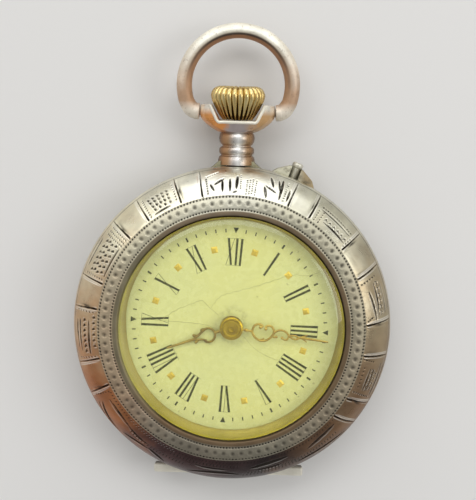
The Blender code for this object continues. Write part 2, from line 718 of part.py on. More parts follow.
cock = capsule(BALANCE_FOOT, 1.35, BALANCE, 1.0)
balance_cock = put(plate("balance_cock", [cock, circle(0.14, 8, BALANCE)], BALANCE_COCK_Z), NICKEL)
foot = [((*BALANCE_FOOT, 1.6), (*BALANCE_FOOT, PLATE_Z[0] - 0.03))]
join(balance_cock, tool(rods("balance_foot", foot, 0.9, 14)))
foot_hole = [((*BALANCE_FOOT, 1.0), (*BALANCE_FOOT, 5.0))]
cut(balance_cock, tool(rods("balance_foot_hole", foot_hole, FOOT_HOLE_R, 8)))

# Screws
for number, spot in enumerate(BARREL_FEET, 1):
    screw(f"barrel_bridge_screw_{number}", spot, (1.55, 1.81), 5.0)
screw("train_bridge_screw", TRAIN_FOOT, (1.55, 1.81), 5.0)
screw("escape_cock_screw", ESCAPE_FOOT, (2.3, 2.58), 5.0)
screw("balance_cock_screw", BALANCE_FOOT, (1.15, 1.36), 5.0)
for number, spot in enumerate(case_screw_at, 1):
    screw(f"case_screw_{number}", spot, (2.42, 2.68), 5.0)
screw("click_screw", CLICK_PIVOT, (1.25, 1.46), 2.5)
screw("crown_wheel_screw", CROWN_WHEEL, (1.25, 1.46), 2.5, head_r=1.0, shank_r=0.55)
screw("setting_lever_screw", LEVER_PIVOT, (3.1, 3.36), 5.0)

# Winding wheels behind the bridge
crown_wheel_axis = axis("crown_wheel", (*CROWN_WHEEL, 1.65))
ratchet_axis = axis("ratchet", (*BARREL, 1.65))
crown_bearing = bearing(CROWN_WHEEL, BARREL)
ratchet_phase = meshed(CROWN_TEETH, 0.0, crown_bearing, RATCHET_TEETH)
crown_spur = gear(CROWN_TEETH, KEYLESS_MODULE)
crown_wheel = plate("crown_wheel", [crown_spur, circle(0.62, 12)], KEYLESS_Z)
put(crown_wheel, STEEL, at=(*CROWN_WHEEL, 0.0), on=crown_wheel_axis)
contrate = []
for k in range(CONTRATE_TEETH):
    middle = 90.0 + 360.0 * (k + 0.5) / CONTRATE_TEETH
    contrate.append([polar(radius, middle + turn) for radius, turn in CONTRATE_TOOTH])
contrate_ring = plate("contrate_teeth", contrate, (1.7, 2.28))
join(crown_wheel, tool(contrate_ring, at=(*CROWN_WHEEL, 0.0)))
ratchet = gear(RATCHET_TEETH, KEYLESS_MODULE, ratchet_phase)
ratchet_wheel = plate("ratchet_wheel", [ratchet, circle(0.62, 12)], KEYLESS_Z)
put(ratchet_wheel, STEEL, at=(*BARREL, 0.0), on=ratchet_axis)
screw("ratchet_screw", BARREL, (1.25, 1.46), 2.2, head_r=0.9, shank_r=0.25, on=ratchet_axis)
arbor_profile = [
    (0.0, 5.1),
    (0.41, 5.1),
    (0.41, 4.24),
    (1.0, 4.2),
    (1.0, 3.28),
    (0.58, 3.24),
    (0.58, 1.5),
    (0.3, 1.5),
    (0.3, 2.3),
    (0.0, 2.3),
]
put(turned("barrel_arbor", arbor_profile, 14), STEEL, at=(*BARREL, 0.0), on=ratchet_axis)

click_axis = axis("click", (*CLICK_PIVOT, 1.65))
pitch = 360.0 / RATCHET_TEETH
gap_number = round((225.0 - ratchet_phase) / pitch - 0.5)
beak_r = KEYLESS_MODULE * (RATCHET_TEETH / 2 + ADDENDUM) + CLICK_CLEAR
beak = polar(beak_r, ratchet_phase + (gap_number + 0.5) * pitch, BARREL)
click_outline = [teardrop(CLICK_PIVOT, 0.62, beak), circle(0.28, 8, CLICK_PIVOT)]
put(plate("click", click_outline, (1.52, 1.76)), STEEL, on=click_axis)
put(plate("click_spring", [teardrop((-7.0, 1.05), 0.38, (-8.25, 1.85))], (1.52, 1.8)), BLUED)

# Barrel with its spring
barrel_axis = axis("barrel", (*BARREL, 3.7))
drum_profile = [(5.0, 4.4), (5.3, 4.4), (5.3, 3.05), (0.64, 3.05), (0.64, 3.22), (5.0, 3.22)]
drum = put(turned("barrel_drum", drum_profile, 28), BRASS, at=(*BARREL, 0.0), on=barrel_axis)
barrel_phase = 0.0
barrel_teeth = [gear(BARREL_TEETH, BARREL_MODULE, barrel_phase), circle(5.12, 28)]
join(drum, tool(plate("barrel_teeth", barrel_teeth, (3.06, 3.4)), at=(*BARREL, 0.0)))
barrel_cover = plate("barrel_cover", [circle(4.92, 28), circle(0.48, 8)], (4.27, 4.39))
put(barrel_cover, BRASS, at=(*BARREL, 0.0), on=barrel_axis)
coil = spiral(1.2, 4.8, MAINSPRING_TURNS, 12)
mainspring = plate("mainspring", [ribbon(coil, MAINSPRING_BAND)], (3.34, 4.16))
put(mainspring, BLUED, at=(*BARREL, 0.0), on=barrel_axis)
print("mainspring least gap, mm:", round(least_gap(coil, MAINSPRING_BAND, 12), 3))


# Going train: each pinion is cut on its arbor, each wheel is fitted on it
def pinion_arbor(name, at, on, leaves, leaf_z, arbor):
    obj = put(turned(name, arbor, 7), STEEL, at=(*at, 0.0), on=on)
    body_r = arbor[3][0]
    teeth = plate(name + "_leaves", [leaves, circle(body_r - 0.08, 5)], leaf_z)
    join(obj, tool(teeth, at=(*at, 0.0)))


def train_arbor(back, seat, front, pivot, body):
    """An arbor from its front pivot to its back pivot."""
    return [
        (0.0, front),
        (pivot, front),
        (pivot, seat[1]),
        (body, seat[1]),
        (body, seat[0]),
        (pivot, seat[0]),
        (pivot, back),
        (0.0, back),
    ]


def wheel(name, at, on, teeth, module, levels, bore, hub, arm, rim_width):
    """A wheel of five arms, with a tooth pointing along +X."""
    inside = module * (teeth / 2 - 1.2) - rim_width
    loops = [gear(teeth, module)] + windows(5, hub, inside, arm) + [circle(bore, 10)]
    put(plate(name, loops, levels), BRASS, at=(*at, 0.0), on=on)


centre_axis = axis("centre", (*CENTRE, 2.8))
third_axis = axis("third", (*THIRD, 3.5))
fourth_axis = axis("fourth", (*FOURTH, 3.5))
escape_axis = axis("escape", (*ESCAPE, 3.5))
centre_phase = meshed(BARREL_TEETH, barrel_phase, bearing(BARREL, CENTRE), CENTRE_LEAVES)
third_phase = meshed(CENTRE_TEETH, 0.0, bearing(CENTRE, THIRD), THIRD_LEAVES)
fourth_phase = meshed(THIRD_TEETH, 0.0, bearing(THIRD, FOURTH), FOURTH_LEAVES)
escape_phase = meshed(FOURTH_TEETH, 0.0, bearing(FOURTH, ESCAPE), ESCAPE_LEAVES)

centre_profile = [
    (0.0, 7.11),
    (0.3, 7.11),
    (0.3, 4.3),
    (0.5, 4.26),
    (0.5, 2.95),
    (0.36, 2.92),
    (0.36, 2.64),
    (0.18, 2.62),
    (0.18, 1.95),
    (0.0, 1.95),
]
centre = put(turned("centre_arbor", centre_profile, 12), STEEL, on=centre_axis)
centre_leaves = [gear(CENTRE_LEAVES, BARREL_MODULE, centre_phase), circle(0.4, 8)]
join(centre, tool(plate("centre_leaves", centre_leaves, (2.98, 3.5))))
wheel("centre_wheel", CENTRE, centre_axis, CENTRE_TEETH, CENTRE_MODULE, (2.68, 2.86), 0.4, 0.95, 0.4, 0.4)

third_arbor = train_arbor(1.95, (2.64, 4.4), 4.85, 0.11, 0.24)
third_leaves = gear(THIRD_LEAVES, CENTRE_MODULE, third_phase)
pinion_arbor("third_pinion", THIRD, third_axis, third_leaves, (2.66, 3.1), third_arbor)
wheel("third_wheel", THIRD, third_axis, THIRD_TEETH, THIRD_MODULE, (3.95, 4.15), 0.28, 0.8, 0.35, 0.35)
fourth_arbor = train_arbor(2.68, (3.02, 4.4), 4.85, 0.11, 0.24)
fourth_leaves = gear(FOURTH_LEAVES, THIRD_MODULE, fourth_phase)
pinion_arbor("fourth_pinion", FOURTH, fourth_axis, fourth_leaves, (3.85, 4.25), fourth_arbor)
wheel("fourth_wheel", FOURTH, fourth_axis, FOURTH_TEETH, FOURTH_MODULE, (3.15, 3.42), 0.28, 0.7, 0.4, 0.55)
escape_arbor = train_arbor(2.68, (3.02, 4.4), 4.85, 0.1, 0.16)
escape_leaves = gear(ESCAPE_LEAVES, FOURTH_MODULE, escape_phase)
pinion_arbor("escape_pinion", ESCAPE, escape_axis, escape_leaves, (3.08, 3.5), escape_arbor)

tooth_pitch = 360.0 / ESCAPE_TEETH
hooks = []
for k in range(ESCAPE_TEETH):
    start = k * tooth_pitch
    hooks.append(polar(1.2, start))
    hooks.append(polar(1.24, start + 0.3 * tooth_pitch))
    hooks.append(polar(ESCAPE_TIP_R - 0.12, start + 0.42 * tooth_pitch))
    hooks.append(polar(ESCAPE_TIP_R, start + 0.95 * tooth_pitch))
    hooks.append(polar(ESCAPE_TIP_R - 0.1, start + 0.98 * tooth_pitch))
escape_loops = [hooks] + windows(3, 0.42, 1.0, 0.2) + [circle(0.2, 8)]
put(plate("escape_wheel", escape_loops, (3.95, 4.1)), STEEL, at=(*ESCAPE, 0.0), on=escape_axis)

# Balance, hairspring and regulator
balance_axis = axis("balance", (*BALANCE, 2.4))
balance_loops = [circle(BALANCE_R, 36)] + windows(3, 0.8, BALANCE_R - 0.45, 0.5) + [circle(0.36, 10)]
put(plate("balance_wheel", balance_loops, (2.25, 2.53)), BRASS, at=(*BALANCE, 0.0), on=balance_axis)
staff_profile = [
    (0.0, 4.85),
    (0.11, 4.85),
    (0.11, 4.42),
    (0.3, 4.4),
    (0.3, 2.0),
    (0.1, 1.98),
    (0.1, 1.5),
    (0.0, 1.5),
]
put(turned("balance_staff", staff_profile, 12), STEEL, at=(*BALANCE, 0.0), on=balance_axis)
hair = spiral(0.75, 2.45, HAIRSPRING_TURNS, 14)
hairspring = plate("hairspring", [ribbon(hair, HAIRSPRING_BAND)], (2.0, 2.14))
put(hairspring, BLUED, at=(*BALANCE, 0.0))
print("hairspring least gap, mm:", round(least_gap(hair, HAIRSPRING_BAND, 14), 3))
regulator_axis = axis("regulator", (*BALANCE, 1.3))
pointer = polar(3.1, bearing(BALANCE, BALANCE_FOOT) + 90.0, BALANCE)
regulator = [teardrop(BALANCE, 0.75, pointer), circle(0.3, 10, BALANCE)]
put(plate("regulator", regulator, (1.22, 1.36)), STEEL, on=regulator_axis)

# Setting lever: the pin's shank pushes its pad
lever_axis = axis("setting_lever", (*LEVER_PIVOT, STEM_Z))
pad = (11.06 * px, 11.06 * py)
lever = [capsule(LEVER_PIVOT, 0.75, pad, 0.5), circle(0.29, 8, LEVER_PIVOT)]
put(plate("setting_lever", lever, (3.4, 3.72)), STEEL, on=lever_axis)

# Dial on its three feet, and the gilt ring round it
dial = put(plate("dial", [circle(DIAL_R, 40), circle(1.05, 12)], DIAL_Z), ENAMEL)
dial_feet = []
for degrees in DIAL_FOOT_BEARINGS:
    spot = polar(DIAL_FOOT_R, degrees)
    dial_feet.append(((*spot, 4.6), (*spot, 6.0)))
join(dial, tool(rods("dial_feet", dial_feet, 0.4, 8)))
ring_profile = [(11.3, 7.35), (11.66, 7.35), (11.88, 7.0), (11.88, 6.32), (10.5, 6.32), (10.5, 6.4)]
put(turned("dial_ring", ring_profile, CASE_STEPS), GILT_RING)

# Motion work: the minute hand drives the hour hand at a twelfth
hands_axis = axis("minute_hand", (0.0, 0.0, 7.0))
hour_axis = axis("hour_hand", (0.0, 0.0, 6.6))
minute_wheel_axis = axis("minute_wheel", (*MINUTE, 5.3))
minute_phase = meshed(CANNON_LEAVES, 0.0, MINUTE_BEARING, MINUTE_TEETH)
hour_phase = meshed(MINUTE_LEAVES, 0.0, MINUTE_BEARING + 180.0, HOUR_TEETH)
cannon_profile = [(0.34, 7.1), (0.52, 7.1), (0.52, 5.04), (0.34, 5.04)]
cannon = put(turned("cannon_pinion", cannon_profile, 10), STEEL, on=hands_axis)
cannon_leaves = [gear(CANNON_LEAVES, MINUTE_MODULE), circle(0.42, 6)]
join(cannon, tool(plate("cannon_leaves", cannon_leaves, (5.05, 5.3))))
minute_gear = [gear(MINUTE_TEETH, MINUTE_MODULE, minute_phase), circle(0.23, 8)]
minute_wheel = plate("minute_wheel", minute_gear, (5.09, 5.24))
put(minute_wheel, BRASS, at=(*MINUTE, 0.0), on=minute_wheel_axis)
minute_leaves = [gear(MINUTE_LEAVES, HOUR_MODULE), circle(0.23, 8)]
join(minute_wheel, tool(plate("minute_leaves", minute_leaves, (5.2, 5.62)), at=(*MINUTE, 0.0)))
hour_profile = [(0.58, 6.72), (0.86, 6.72), (0.86, 5.41), (0.58, 5.41)]
hour_wheel = put(turned("hour_wheel", hour_profile, 12), BRASS, on=hour_axis)
hour_gear = [gear(HOUR_TEETH, HOUR_MODULE, hour_phase), circle(0.7, 8)]
join(hour_wheel, tool(plate("hour_teeth", hour_gear, (5.42, 5.57))))


# Hands: pierced outlines along +Y, turned to the time
def hand(name, hub, bore, widths, eyes, levels, at, on):
    """Half widths along the hand's length give its edge; the eyes are its pierced scrolls."""
    first = widths[0]
    lean = math.degrees(math.asin(first[1] / hub))
    outline = arc(hub, 90.0 + lean, 450.0 - lean, 18)
    outline += [(w, s) for s, w in widths]
    outline += [(-w, s) for s, w in reversed(widths)]
    loops = [outline, circle(bore, 14)]
    for middle, long_r, wide_r in eyes:
        loops.append([(wide_r * x, middle + long_r * y) for x, y in circle(1.0, 14)])
    put(plate(name, loops, levels), GILT, turn=(0.0, 0.0, -math.radians(at)), on=on)


minute_widths = [
    (1.1, 0.3),
    (1.7, 0.24),
    (2.1, 0.4),
    (2.5, 0.8),
    (3.1, 0.9),
    (3.7, 0.62),
    (4.1, 0.26),
    (4.5, 0.46),
    (4.9, 0.54),
    (5.3, 0.44),
    (5.75, 0.2),
    (6.8, 0.16),
    (7.05, 0.34),
    (7.3, 0.13),
    (9.65, 0.05),
]
minute_eyes = [(3.05, 0.68, 0.56), (4.9, 0.42, 0.28)]
hand("minute_hand", 0.98, 0.56, minute_widths, minute_eyes, MINUTE_HAND_Z, MINUTE_HAND_AT, hands_axis)
hour_widths = [
    (1.35, 0.35),
    (1.7, 0.3),
    (2.0, 0.58),
    (2.55, 0.74),
    (3.1, 0.5),
    (3.6, 0.2),
    (3.95, 0.36),
    (4.3, 0.18),
    (4.8, 0.13),
    (6.85, 0.05),
]
hour_eyes = [(2.5, 0.45, 0.45)]
hand("hour_hand", 1.25, 0.9, hour_widths, hour_eyes, HOUR_HAND_Z, HOUR_HAND_AT, hour_axis)
boss_profile = [
    (0.0, 7.84),
    (0.6, 7.82),
    (0.95, 7.7),
    (0.98, 7.5),
    (1.17, 7.46),
    (1.17, 7.16),
    (0.0, 7.16),
]
put(turned("hand_boss", boss_profile, 20), GILT, on=hands_axis)
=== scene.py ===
"""Finished pieces of an open-face fob watch, laid over its solid parts, and a small studio round it.

Sizes are millimetres in the watch's own frame: the dial faces +Z, 12 o'clock is +Y and 3 o'clock is +X.
"""

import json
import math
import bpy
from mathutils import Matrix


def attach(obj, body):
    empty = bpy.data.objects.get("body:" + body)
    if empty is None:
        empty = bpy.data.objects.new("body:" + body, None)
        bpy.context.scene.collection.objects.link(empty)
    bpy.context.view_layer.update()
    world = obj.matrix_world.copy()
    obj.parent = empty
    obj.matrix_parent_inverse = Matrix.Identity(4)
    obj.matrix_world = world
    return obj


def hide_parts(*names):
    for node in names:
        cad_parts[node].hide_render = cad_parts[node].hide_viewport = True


bl_info = {
    "name": "Fob Watch Finish",
    "version": (1, 0, 0),
    "blender": (4, 5, 0),
    "location": "View3D > Sidebar > Fob Watch",
    "description": "Engraved case, dial, hands and movement finishes of an open-face fob watch",
    "category": "Object",
}

import bmesh
import bpy
import numpy as np
from bpy.props import FloatProperty, FloatVectorProperty, IntProperty, PointerProperty
from mathutils import Matrix, Vector

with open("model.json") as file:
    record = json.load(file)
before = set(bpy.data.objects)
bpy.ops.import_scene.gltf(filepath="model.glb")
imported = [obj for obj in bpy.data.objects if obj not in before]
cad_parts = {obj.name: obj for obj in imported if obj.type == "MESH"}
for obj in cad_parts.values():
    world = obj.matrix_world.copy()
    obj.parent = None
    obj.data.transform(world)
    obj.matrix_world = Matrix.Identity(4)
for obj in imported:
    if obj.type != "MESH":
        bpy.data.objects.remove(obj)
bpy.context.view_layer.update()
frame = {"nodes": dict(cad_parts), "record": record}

# Places that several pieces share, in millimetres
MM = 0.001
STEM_Z = 3.56
BOW_MIDDLE = 24.05
BOW_RADIUS = 5.42
BOW_PIVOT = 21.35
BEZEL_HINGE = (-15.6, 4.72)
BEZEL_KNUCKLE = 0.35
BACK_HINGE = (-15.58, 2.66)
COVER_HINGE = (-15.55, 2.66)
COVER_KNUCKLE = 0.5
ALONG_Y = Matrix.Translation((0.0, 0.0, STEM_Z)) @ Matrix.Rotation(-math.pi / 2, 4, "X")


# Settings a user would change
def length_prop(label, words, default):
    return FloatProperty(name=label, description=words, default=default * MM, unit="LENGTH", precision=5)


def colour_prop(label, words, default):
    return FloatVectorProperty(
        name=label, description=words, default=default, size=3, min=0.0, max=1.0, subtype="COLOR"
    )


def turn_prop(label, words, degrees):
    return FloatProperty(name=label, description=words, default=math.radians(degrees), subtype="ANGLE")


class FobCaseSettings(bpy.types.PropertyGroup):
    steps: IntProperty(name="Turning steps", description="Facets round a turned case piece", default=192)
    bezel_columns: IntProperty(name="Bezel columns", description="Columns round the bezel", default=1800)
    punched_dots: IntProperty(name="Punched dots", description="Large dots round the bezel", default=90)
    crown_ribs: IntProperty(name="Crown ribs", description="Ribs round the crown", default=26)
    cut_depth: length_prop("Cut depth", "Depth of the engraver's ordinary cuts", 0.09)
    silver: colour_prop("Silver", "Clean silver", (0.74, 0.71, 0.61))
    # Colour of the cuts: dirt, and painted shade standing in for their depth
    grime_and_shade: colour_prop("Grime", "Dirt left in the cuts", (0.042, 0.036, 0.03))
    gilt: colour_prop("Gilt", "Worn gilding", (0.84, 0.69, 0.34))


class FobDialSettings(bpy.types.PropertyGroup):
    turned: turn_prop("Dial turn", "How far the dial has slipped round clockwise", 2.5)
    numeral_foot: length_prop("Numeral foot", "Radius of the foot of the numerals", 6.15)
    numeral_head: length_prop("Numeral head", "Radius of the head of the numerals", 8.84)
    square_radius: length_prop("Square radius", "Radius of the ring of gold squares", 7.78)
    square_size: length_prop("Square size", "Side of a gold square", 0.7)
    track_radius: length_prop("Track radius", "Middle radius of the minute track", 9.58)
    enamel: colour_prop("Enamel", "Aged enamel", (0.76, 0.755, 0.312))
    ink: colour_prop("Ink", "Fired black numerals, gone brown", (0.038, 0.04, 0.002))


class FobStageSettings(bpy.types.PropertyGroup):
    tilt: turn_prop("Camera tilt", "Lean of the camera from straight above towards 12 o'clock", 6.9)
    lean: turn_prop("Camera lean", "Lean of the camera from straight above towards 3 o'clock", 0.65)
    roll: turn_prop("Camera roll", "Clockwise turn of the watch in the picture", 1.6)
    distance: length_prop("Camera distance", "From the camera to the glass", 130.0)
    aim_x: length_prop("Aim across", "Point that the camera looks at, to the right of the middle", 0.45)
    aim_y: length_prop("Aim up", "Point that the camera looks at, above the middle", 7.89)
    view_height: length_prop("View height", "Height of the picture at the glass", 49.37)
    floor: colour_prop("Floor", "Pale floor", (0.76, 0.755, 0.745))


# Mesh helpers
def link(obj):
    bpy.context.scene.collection.objects.link(obj)
    return obj


def smooth(mesh, degrees=35.0):
    mesh.shade_smooth()
    mesh.set_sharp_from_angle(angle=math.radians(degrees))


def bmesh_object(name, bm):
    mesh = bpy.data.meshes.new(name)
    bm.to_mesh(mesh)
    bm.free()
    return link(bpy.data.objects.new(name, mesh))


def turned(name, profile, steps, place=None):
    """A turned solid: the profile runs down its outer side; it is closed unless it starts on the axis."""
    count = len(profile)
    on_axis = profile[0][0] == 0
    edges = [(k, (k + 1) % count) for k in range(count - 1 if on_axis else count)]
    mesh = bpy.data.meshes.new(name)
    mesh.from_pydata([(r, 0.0, z) for r, z in profile], edges, [])
    obj = link(bpy.data.objects.new(name, mesh))
    lathe = obj.modifiers.new("Lathe", "SCREW")
    lathe.axis = "Z"
    lathe.angle = math.tau
    lathe.steps = steps
    lathe.render_steps = steps
    lathe.use_merge_vertices = True
    lathe.merge_threshold = 0.0001
    if place is not None:
        obj.matrix_world = place
    return obj


def boxes(name, spans):
    bm = bmesh.new()
    for low, high in spans:
        middle = [(a + b) / 2 for a, b in zip(low, high)]
        size = [b - a for a, b in zip(low, high)]
        where = Matrix.Translation(middle) @ Matrix.Diagonal((*size, 1.0))
        bmesh.ops.create_cube(bm, size=1.0, matrix=where)
    return bmesh_object(name, bm)


def rods(name, spans, radius, sides=32):
    bm = bmesh.new()
    for start, end in spans:
        a, b = Vector(start), Vector(end)
        where = Matrix.Translation((a + b) / 2) @ (b - a).to_track_quat("Z", "Y").to_matrix().to_4x4()
        shape = {"segments": sides, "radius1": radius, "radius2": radius, "depth": (b - a).length}
        bmesh.ops.create_cone(bm, cap_ends=True, matrix=where, **shape)
    return bmesh_object(name, bm)


def prism(bm, outline, low, high):
    foot = [bm.verts.new((x, y, low)) for x, y in outline]
    head = [bm.verts.new((x, y, high)) for x, y in outline]
    bm.faces.new(foot)
    bm.faces.new(list(reversed(head)))
    for k in range(len(outline)):
        n = (k + 1) % len(outline)
        bm.faces.new((foot[k], head[k], head[n], foot[n]))


def outline_plate(name, outline, low, high):
    """A flat plate from one closed outline."""
    bm = bmesh.new()
    prism(bm, outline, low, high)
    bmesh.ops.recalc_face_normals(bm, faces=bm.faces)
    return bmesh_object(name, bm)


def wire(name, points, thickness, sides=6, closed=False):
    """A round wire through points; each point may have its own radius after x, y, z."""
    curve = bpy.data.curves.new(name, "CURVE")
    curve.dimensions = "3D"
    curve.bevel_depth = thickness
    curve.bevel_resolution = sides
    curve.use_fill_caps = True
    spline = curve.splines.new("POLY")
    spline.points.add(len(points) - 1)
    for spot, (x, y, z, radius) in zip(spline.points, points):
        spot.co = (x, y, z, 1.0)
        spot.radius = radius
    spline.use_cyclic_u = closed
    return link(bpy.data.objects.new(name, curve))


def through(points, per_span):
    """A smooth line through points, as an array."""
    line = np.array(points, float)
    ends = np.vstack([2 * line[0] - line[1], line, 2 * line[-1] - line[-2]])
    t = np.linspace(0.0, 1.0, per_span, endpoint=False)[:, None]
    spans = []
    for a, b, c, d in zip(ends, ends[1:], ends[2:], ends[3:]):
        bend = (2 * a - 5 * b + 4 * c - d) * t**2 + (3 * b - a - 3 * c + d) * t**3
        spans.append(0.5 * (2 * b + (c - a) * t + bend))
    return np.vstack(spans + [line[-1:]])


def even(line, count):
    """The same line with points at even distances."""
    steps = np.linalg.norm(np.diff(line, axis=0), axis=1)
    along = np.concatenate([[0.0], np.cumsum(steps)])
    wanted = np.linspace(0.0, along[-1], count)
    return np.stack([np.interp(wanted, along, line[:, k]) for k in range(line.shape[1])], 1)


def bell(value, middle, width):
    return np.exp(-(((value - middle) / width) ** 2))


def both_sides(right):
    """A span given for the right side, with the same on the left."""
    low, high = right
    return [((-high[0], *low[1:]), (-low[0], *high[1:])), right]


def pin_span(low, high, place):
    """A span along X at one place in Y and Z."""
    return ((low, *place), (high, *place))


def ring_grid(name, points, recess):
    """A closed ring from a grid of points: rows follow a closed section, columns go round the ring."""
    rows, columns = points.shape[:2]
    index = np.arange(rows * columns).reshape(rows, columns)
    after = np.roll(index, -1, axis=1)
    faces = np.stack([index, after, np.roll(after, -1, axis=0), np.roll(index, -1, axis=0)], -1)
    mesh = bpy.data.meshes.new(name)
    mesh.from_pydata(points.reshape(-1, 3).tolist(), [], faces.reshape(-1, 4).tolist())
    marks = mesh.attributes.new("recess", "FLOAT", "POINT")
    marks.data.foreach_set("value", np.ascontiguousarray(recess.reshape(-1), np.float32))
    bm = bmesh.new()
    bm.from_mesh(mesh)
    bmesh.ops.recalc_face_normals(bm, faces=bm.faces)
    bm.to_mesh(mesh)
    bm.free()
    return link(bpy.data.objects.new(name, mesh))


def boolean(obj, other, operation):
    step = obj.modifiers.new(operation.title(), "BOOLEAN")
    step.operation = operation
    step.solver = "EXACT"
    step.object = other


def bevel(obj, width, segments=3, degrees=30.0):
    step = obj.modifiers.new("Soft edges", "BEVEL")
    step.width = width
    step.segments = segments
    step.limit_method = "ANGLE"
    step.angle_limit = math.radians(degrees)
    step.use_clamp_overlap = True


def fused(obj, voxel, rounds=4):
    """Melts the overlapping shapes of an object into one skin."""
    step = obj.modifiers.new("Fuse", "REMESH")
    step.mode = "VOXEL"
    step.voxel_size = voxel
    ease = obj.modifiers.new("Ease", "SMOOTH")
    ease.factor = 0.5
    ease.iterations = rounds


def shape_of(obj):
    """The finished mesh of an object in the watch's millimetres, with the object removed."""
    bpy.context.view_layer.update()
    shown = obj.evaluated_get(bpy.context.evaluated_depsgraph_get())
    mesh = bpy.data.meshes.new_from_object(shown)
    mesh.transform(obj.matrix_world)
    bpy.data.objects.remove(obj, do_unlink=True)
    return mesh


def joined(name, objects):
    """One object from several, each with its modifiers taken in."""
    bm = bmesh.new()
    for obj in objects:
        mesh = shape_of(obj)
        bm.from_mesh(mesh)
        bpy.data.meshes.remove(mesh)
    return bmesh_object(name, bm)


def finish(obj, finish_material, body, nodes=(), degrees=35.0, tools=()):
    """Turns a built object into a finished piece in metres that rides on its body."""
    name = obj.name
    obj.name = name + "_draft"
    mesh = shape_of(obj)
    for other in tools:
        bpy.data.objects.remove(other, do_unlink=True)
    mesh.transform(Matrix.Scale(MM, 4))
    mesh.name = name
    mesh.materials.clear()
    mesh.materials.append(finish_material)
    smooth(mesh, degrees)
    piece = link(bpy.data.objects.new(name, mesh))
    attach(piece, body)
    if nodes:
        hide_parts(*nodes)
    return piece


def clockwise(degrees, radius):
    angle = math.radians(degrees)
    return (radius * math.sin(angle), radius * math.cos(angle))


# Node helpers
def add(tree, kind, inputs=None, **settings):
    """A node with its settings and inputs; an input is a value or the socket that feeds it."""
    node = tree.nodes.new(kind)
    for name, value in settings.items():
        setattr(node, name, value)
    for name, value in (inputs or {}).items():
        if isinstance(value, bpy.types.NodeSocket):
            tree.links.new(value, node.inputs[name])
        else:
            node.inputs[name].default_value = value
    return node


def axis(tree, where, letter):
    """One coordinate of a place."""
    return add(tree, "ShaderNodeSeparateXYZ", {0: where}).outputs[letter]


def math_node(tree, operation, first, second=0.0):
    return add(tree, "ShaderNodeMath", {0: first, 1: second}, operation=operation).outputs[0]


def mix_colour(tree, factor, first, second, blend="MIX"):
    inputs = {0: factor}
    for place, colour in ((6, first), (7, second)):
        inputs[place] = (*colour, 1.0) if isinstance(colour, tuple) else colour
    return add(tree, "ShaderNodeMix", inputs, data_type="RGBA", blend_type=blend).outputs[2]


def wash(tree, base, colour, value, low, high, amount=1.0):
    """Lays a colour over another as a value goes from low to high."""
    return mix_colour(tree, span(tree, value, low, high, 0.0, amount), base, colour)


def ramp(tree, factor, stops):
    node = add(tree, "ShaderNodeValToRGB", {"Fac": factor})
    band = node.color_ramp
    while len(band.elements) < len(stops):
        band.elements.new(0.5)
    for element, (place, colour) in zip(band.elements, stops):
        element.position = place
        element.color = (*colour, 1.0)
    return node.outputs["Color"]


def grey(tree, value):
    return add(tree, "ShaderNodeCombineColor", {0: value, 1: value, 2: value}).outputs[0]


def span(tree, value, low, high, to_low=0.0, to_high=1.0):
    inputs = {0: value, 1: low, 2: high, 3: to_low, 4: to_high}
    return add(tree, "ShaderNodeMapRange", inputs, clamp=True).outputs[0]


def group(name, inputs, outputs, kind="ShaderNodeTree"):
    tree = bpy.data.node_groups.new(name, kind)
    for label, socket_type, default in inputs:
        socket = tree.interface.new_socket(name=label, in_out="INPUT", socket_type=socket_type)
        if default is not None:
            socket.default_value = default
    for label, socket_type in outputs:
        tree.interface.new_socket(name=label, in_out="OUTPUT", socket_type=socket_type)
    return tree, tree.nodes.new("NodeGroupInput"), tree.nodes.new("NodeGroupOutput")


def vector_node(tree, operation, inputs, output=0):
    return add(tree, "ShaderNodeVectorMath", inputs, operation=operation).outputs[output]


def millimetres(tree):
    """Object coordinates in millimetres."""
    where = add(tree, "ShaderNodeTexCoord").outputs["Object"]
    return vector_node(tree, "SCALE", {0: where, "Scale": 1.0 / MM})


def noise(tree, where, scale, detail=3.0, roughness=0.55):
    inputs = {"Vector": where, "Scale": scale, "Detail": detail, "Roughness": roughness}
    return add(tree, "ShaderNodeTexNoise", inputs).outputs["Fac"]


def distance_from(tree, where, x, y):
    """Distance in the case's plane from one point."""
    moved = vector_node(tree, "ADD", {0: where, 1: (-x, -y, 0.0)})
    flat = vector_node(tree, "MULTIPLY", {0: moved, 1: (1.0, 1.0, 0.0)})
    return vector_node(tree, "LENGTH", {0: flat}, "Value")


# Shared effects
def wear_group():
    """Handling marks: a cloudy dullness, and a fine height of grain and scratches."""
    inputs = [("Grain", "NodeSocketFloat", 9.0), ("Scratches", "NodeSocketFloat", 0.5)]
    outputs = [("Cloud", "NodeSocketFloat"), ("Height", "NodeSocketFloat")]
    tree, given, out = group("handling_wear", inputs, outputs)
    where = millimetres(tree)
    cloud = noise(tree, where, 0.55, 4.0)
    grain = noise(tree, where, given.outputs["Grain"], 3.0)
    lines = []
    for turn in (0.4, 2.0, 2.9):
        mapped = add(
            tree,
            "ShaderNodeMapping",
            {"Vector": where, "Rotation": (0.3, 0.2, turn), "Scale": (0.35, 7.0, 1.0)},
        ).outputs[0]
        lines.append(span(tree, noise(tree, mapped, 1.6, 2.0), 0.66, 0.7))
    scratch = math_node(tree, "MAXIMUM", math_node(tree, "MAXIMUM", lines[0], lines[1]), lines[2])
    cut = math_node(tree, "MULTIPLY", scratch, given.outputs["Scratches"])
    tree.links.new(cloud, out.inputs["Cloud"])
    tree.links.new(math_node(tree, "SUBTRACT", grain, cut), out.inputs["Height"])
    return tree


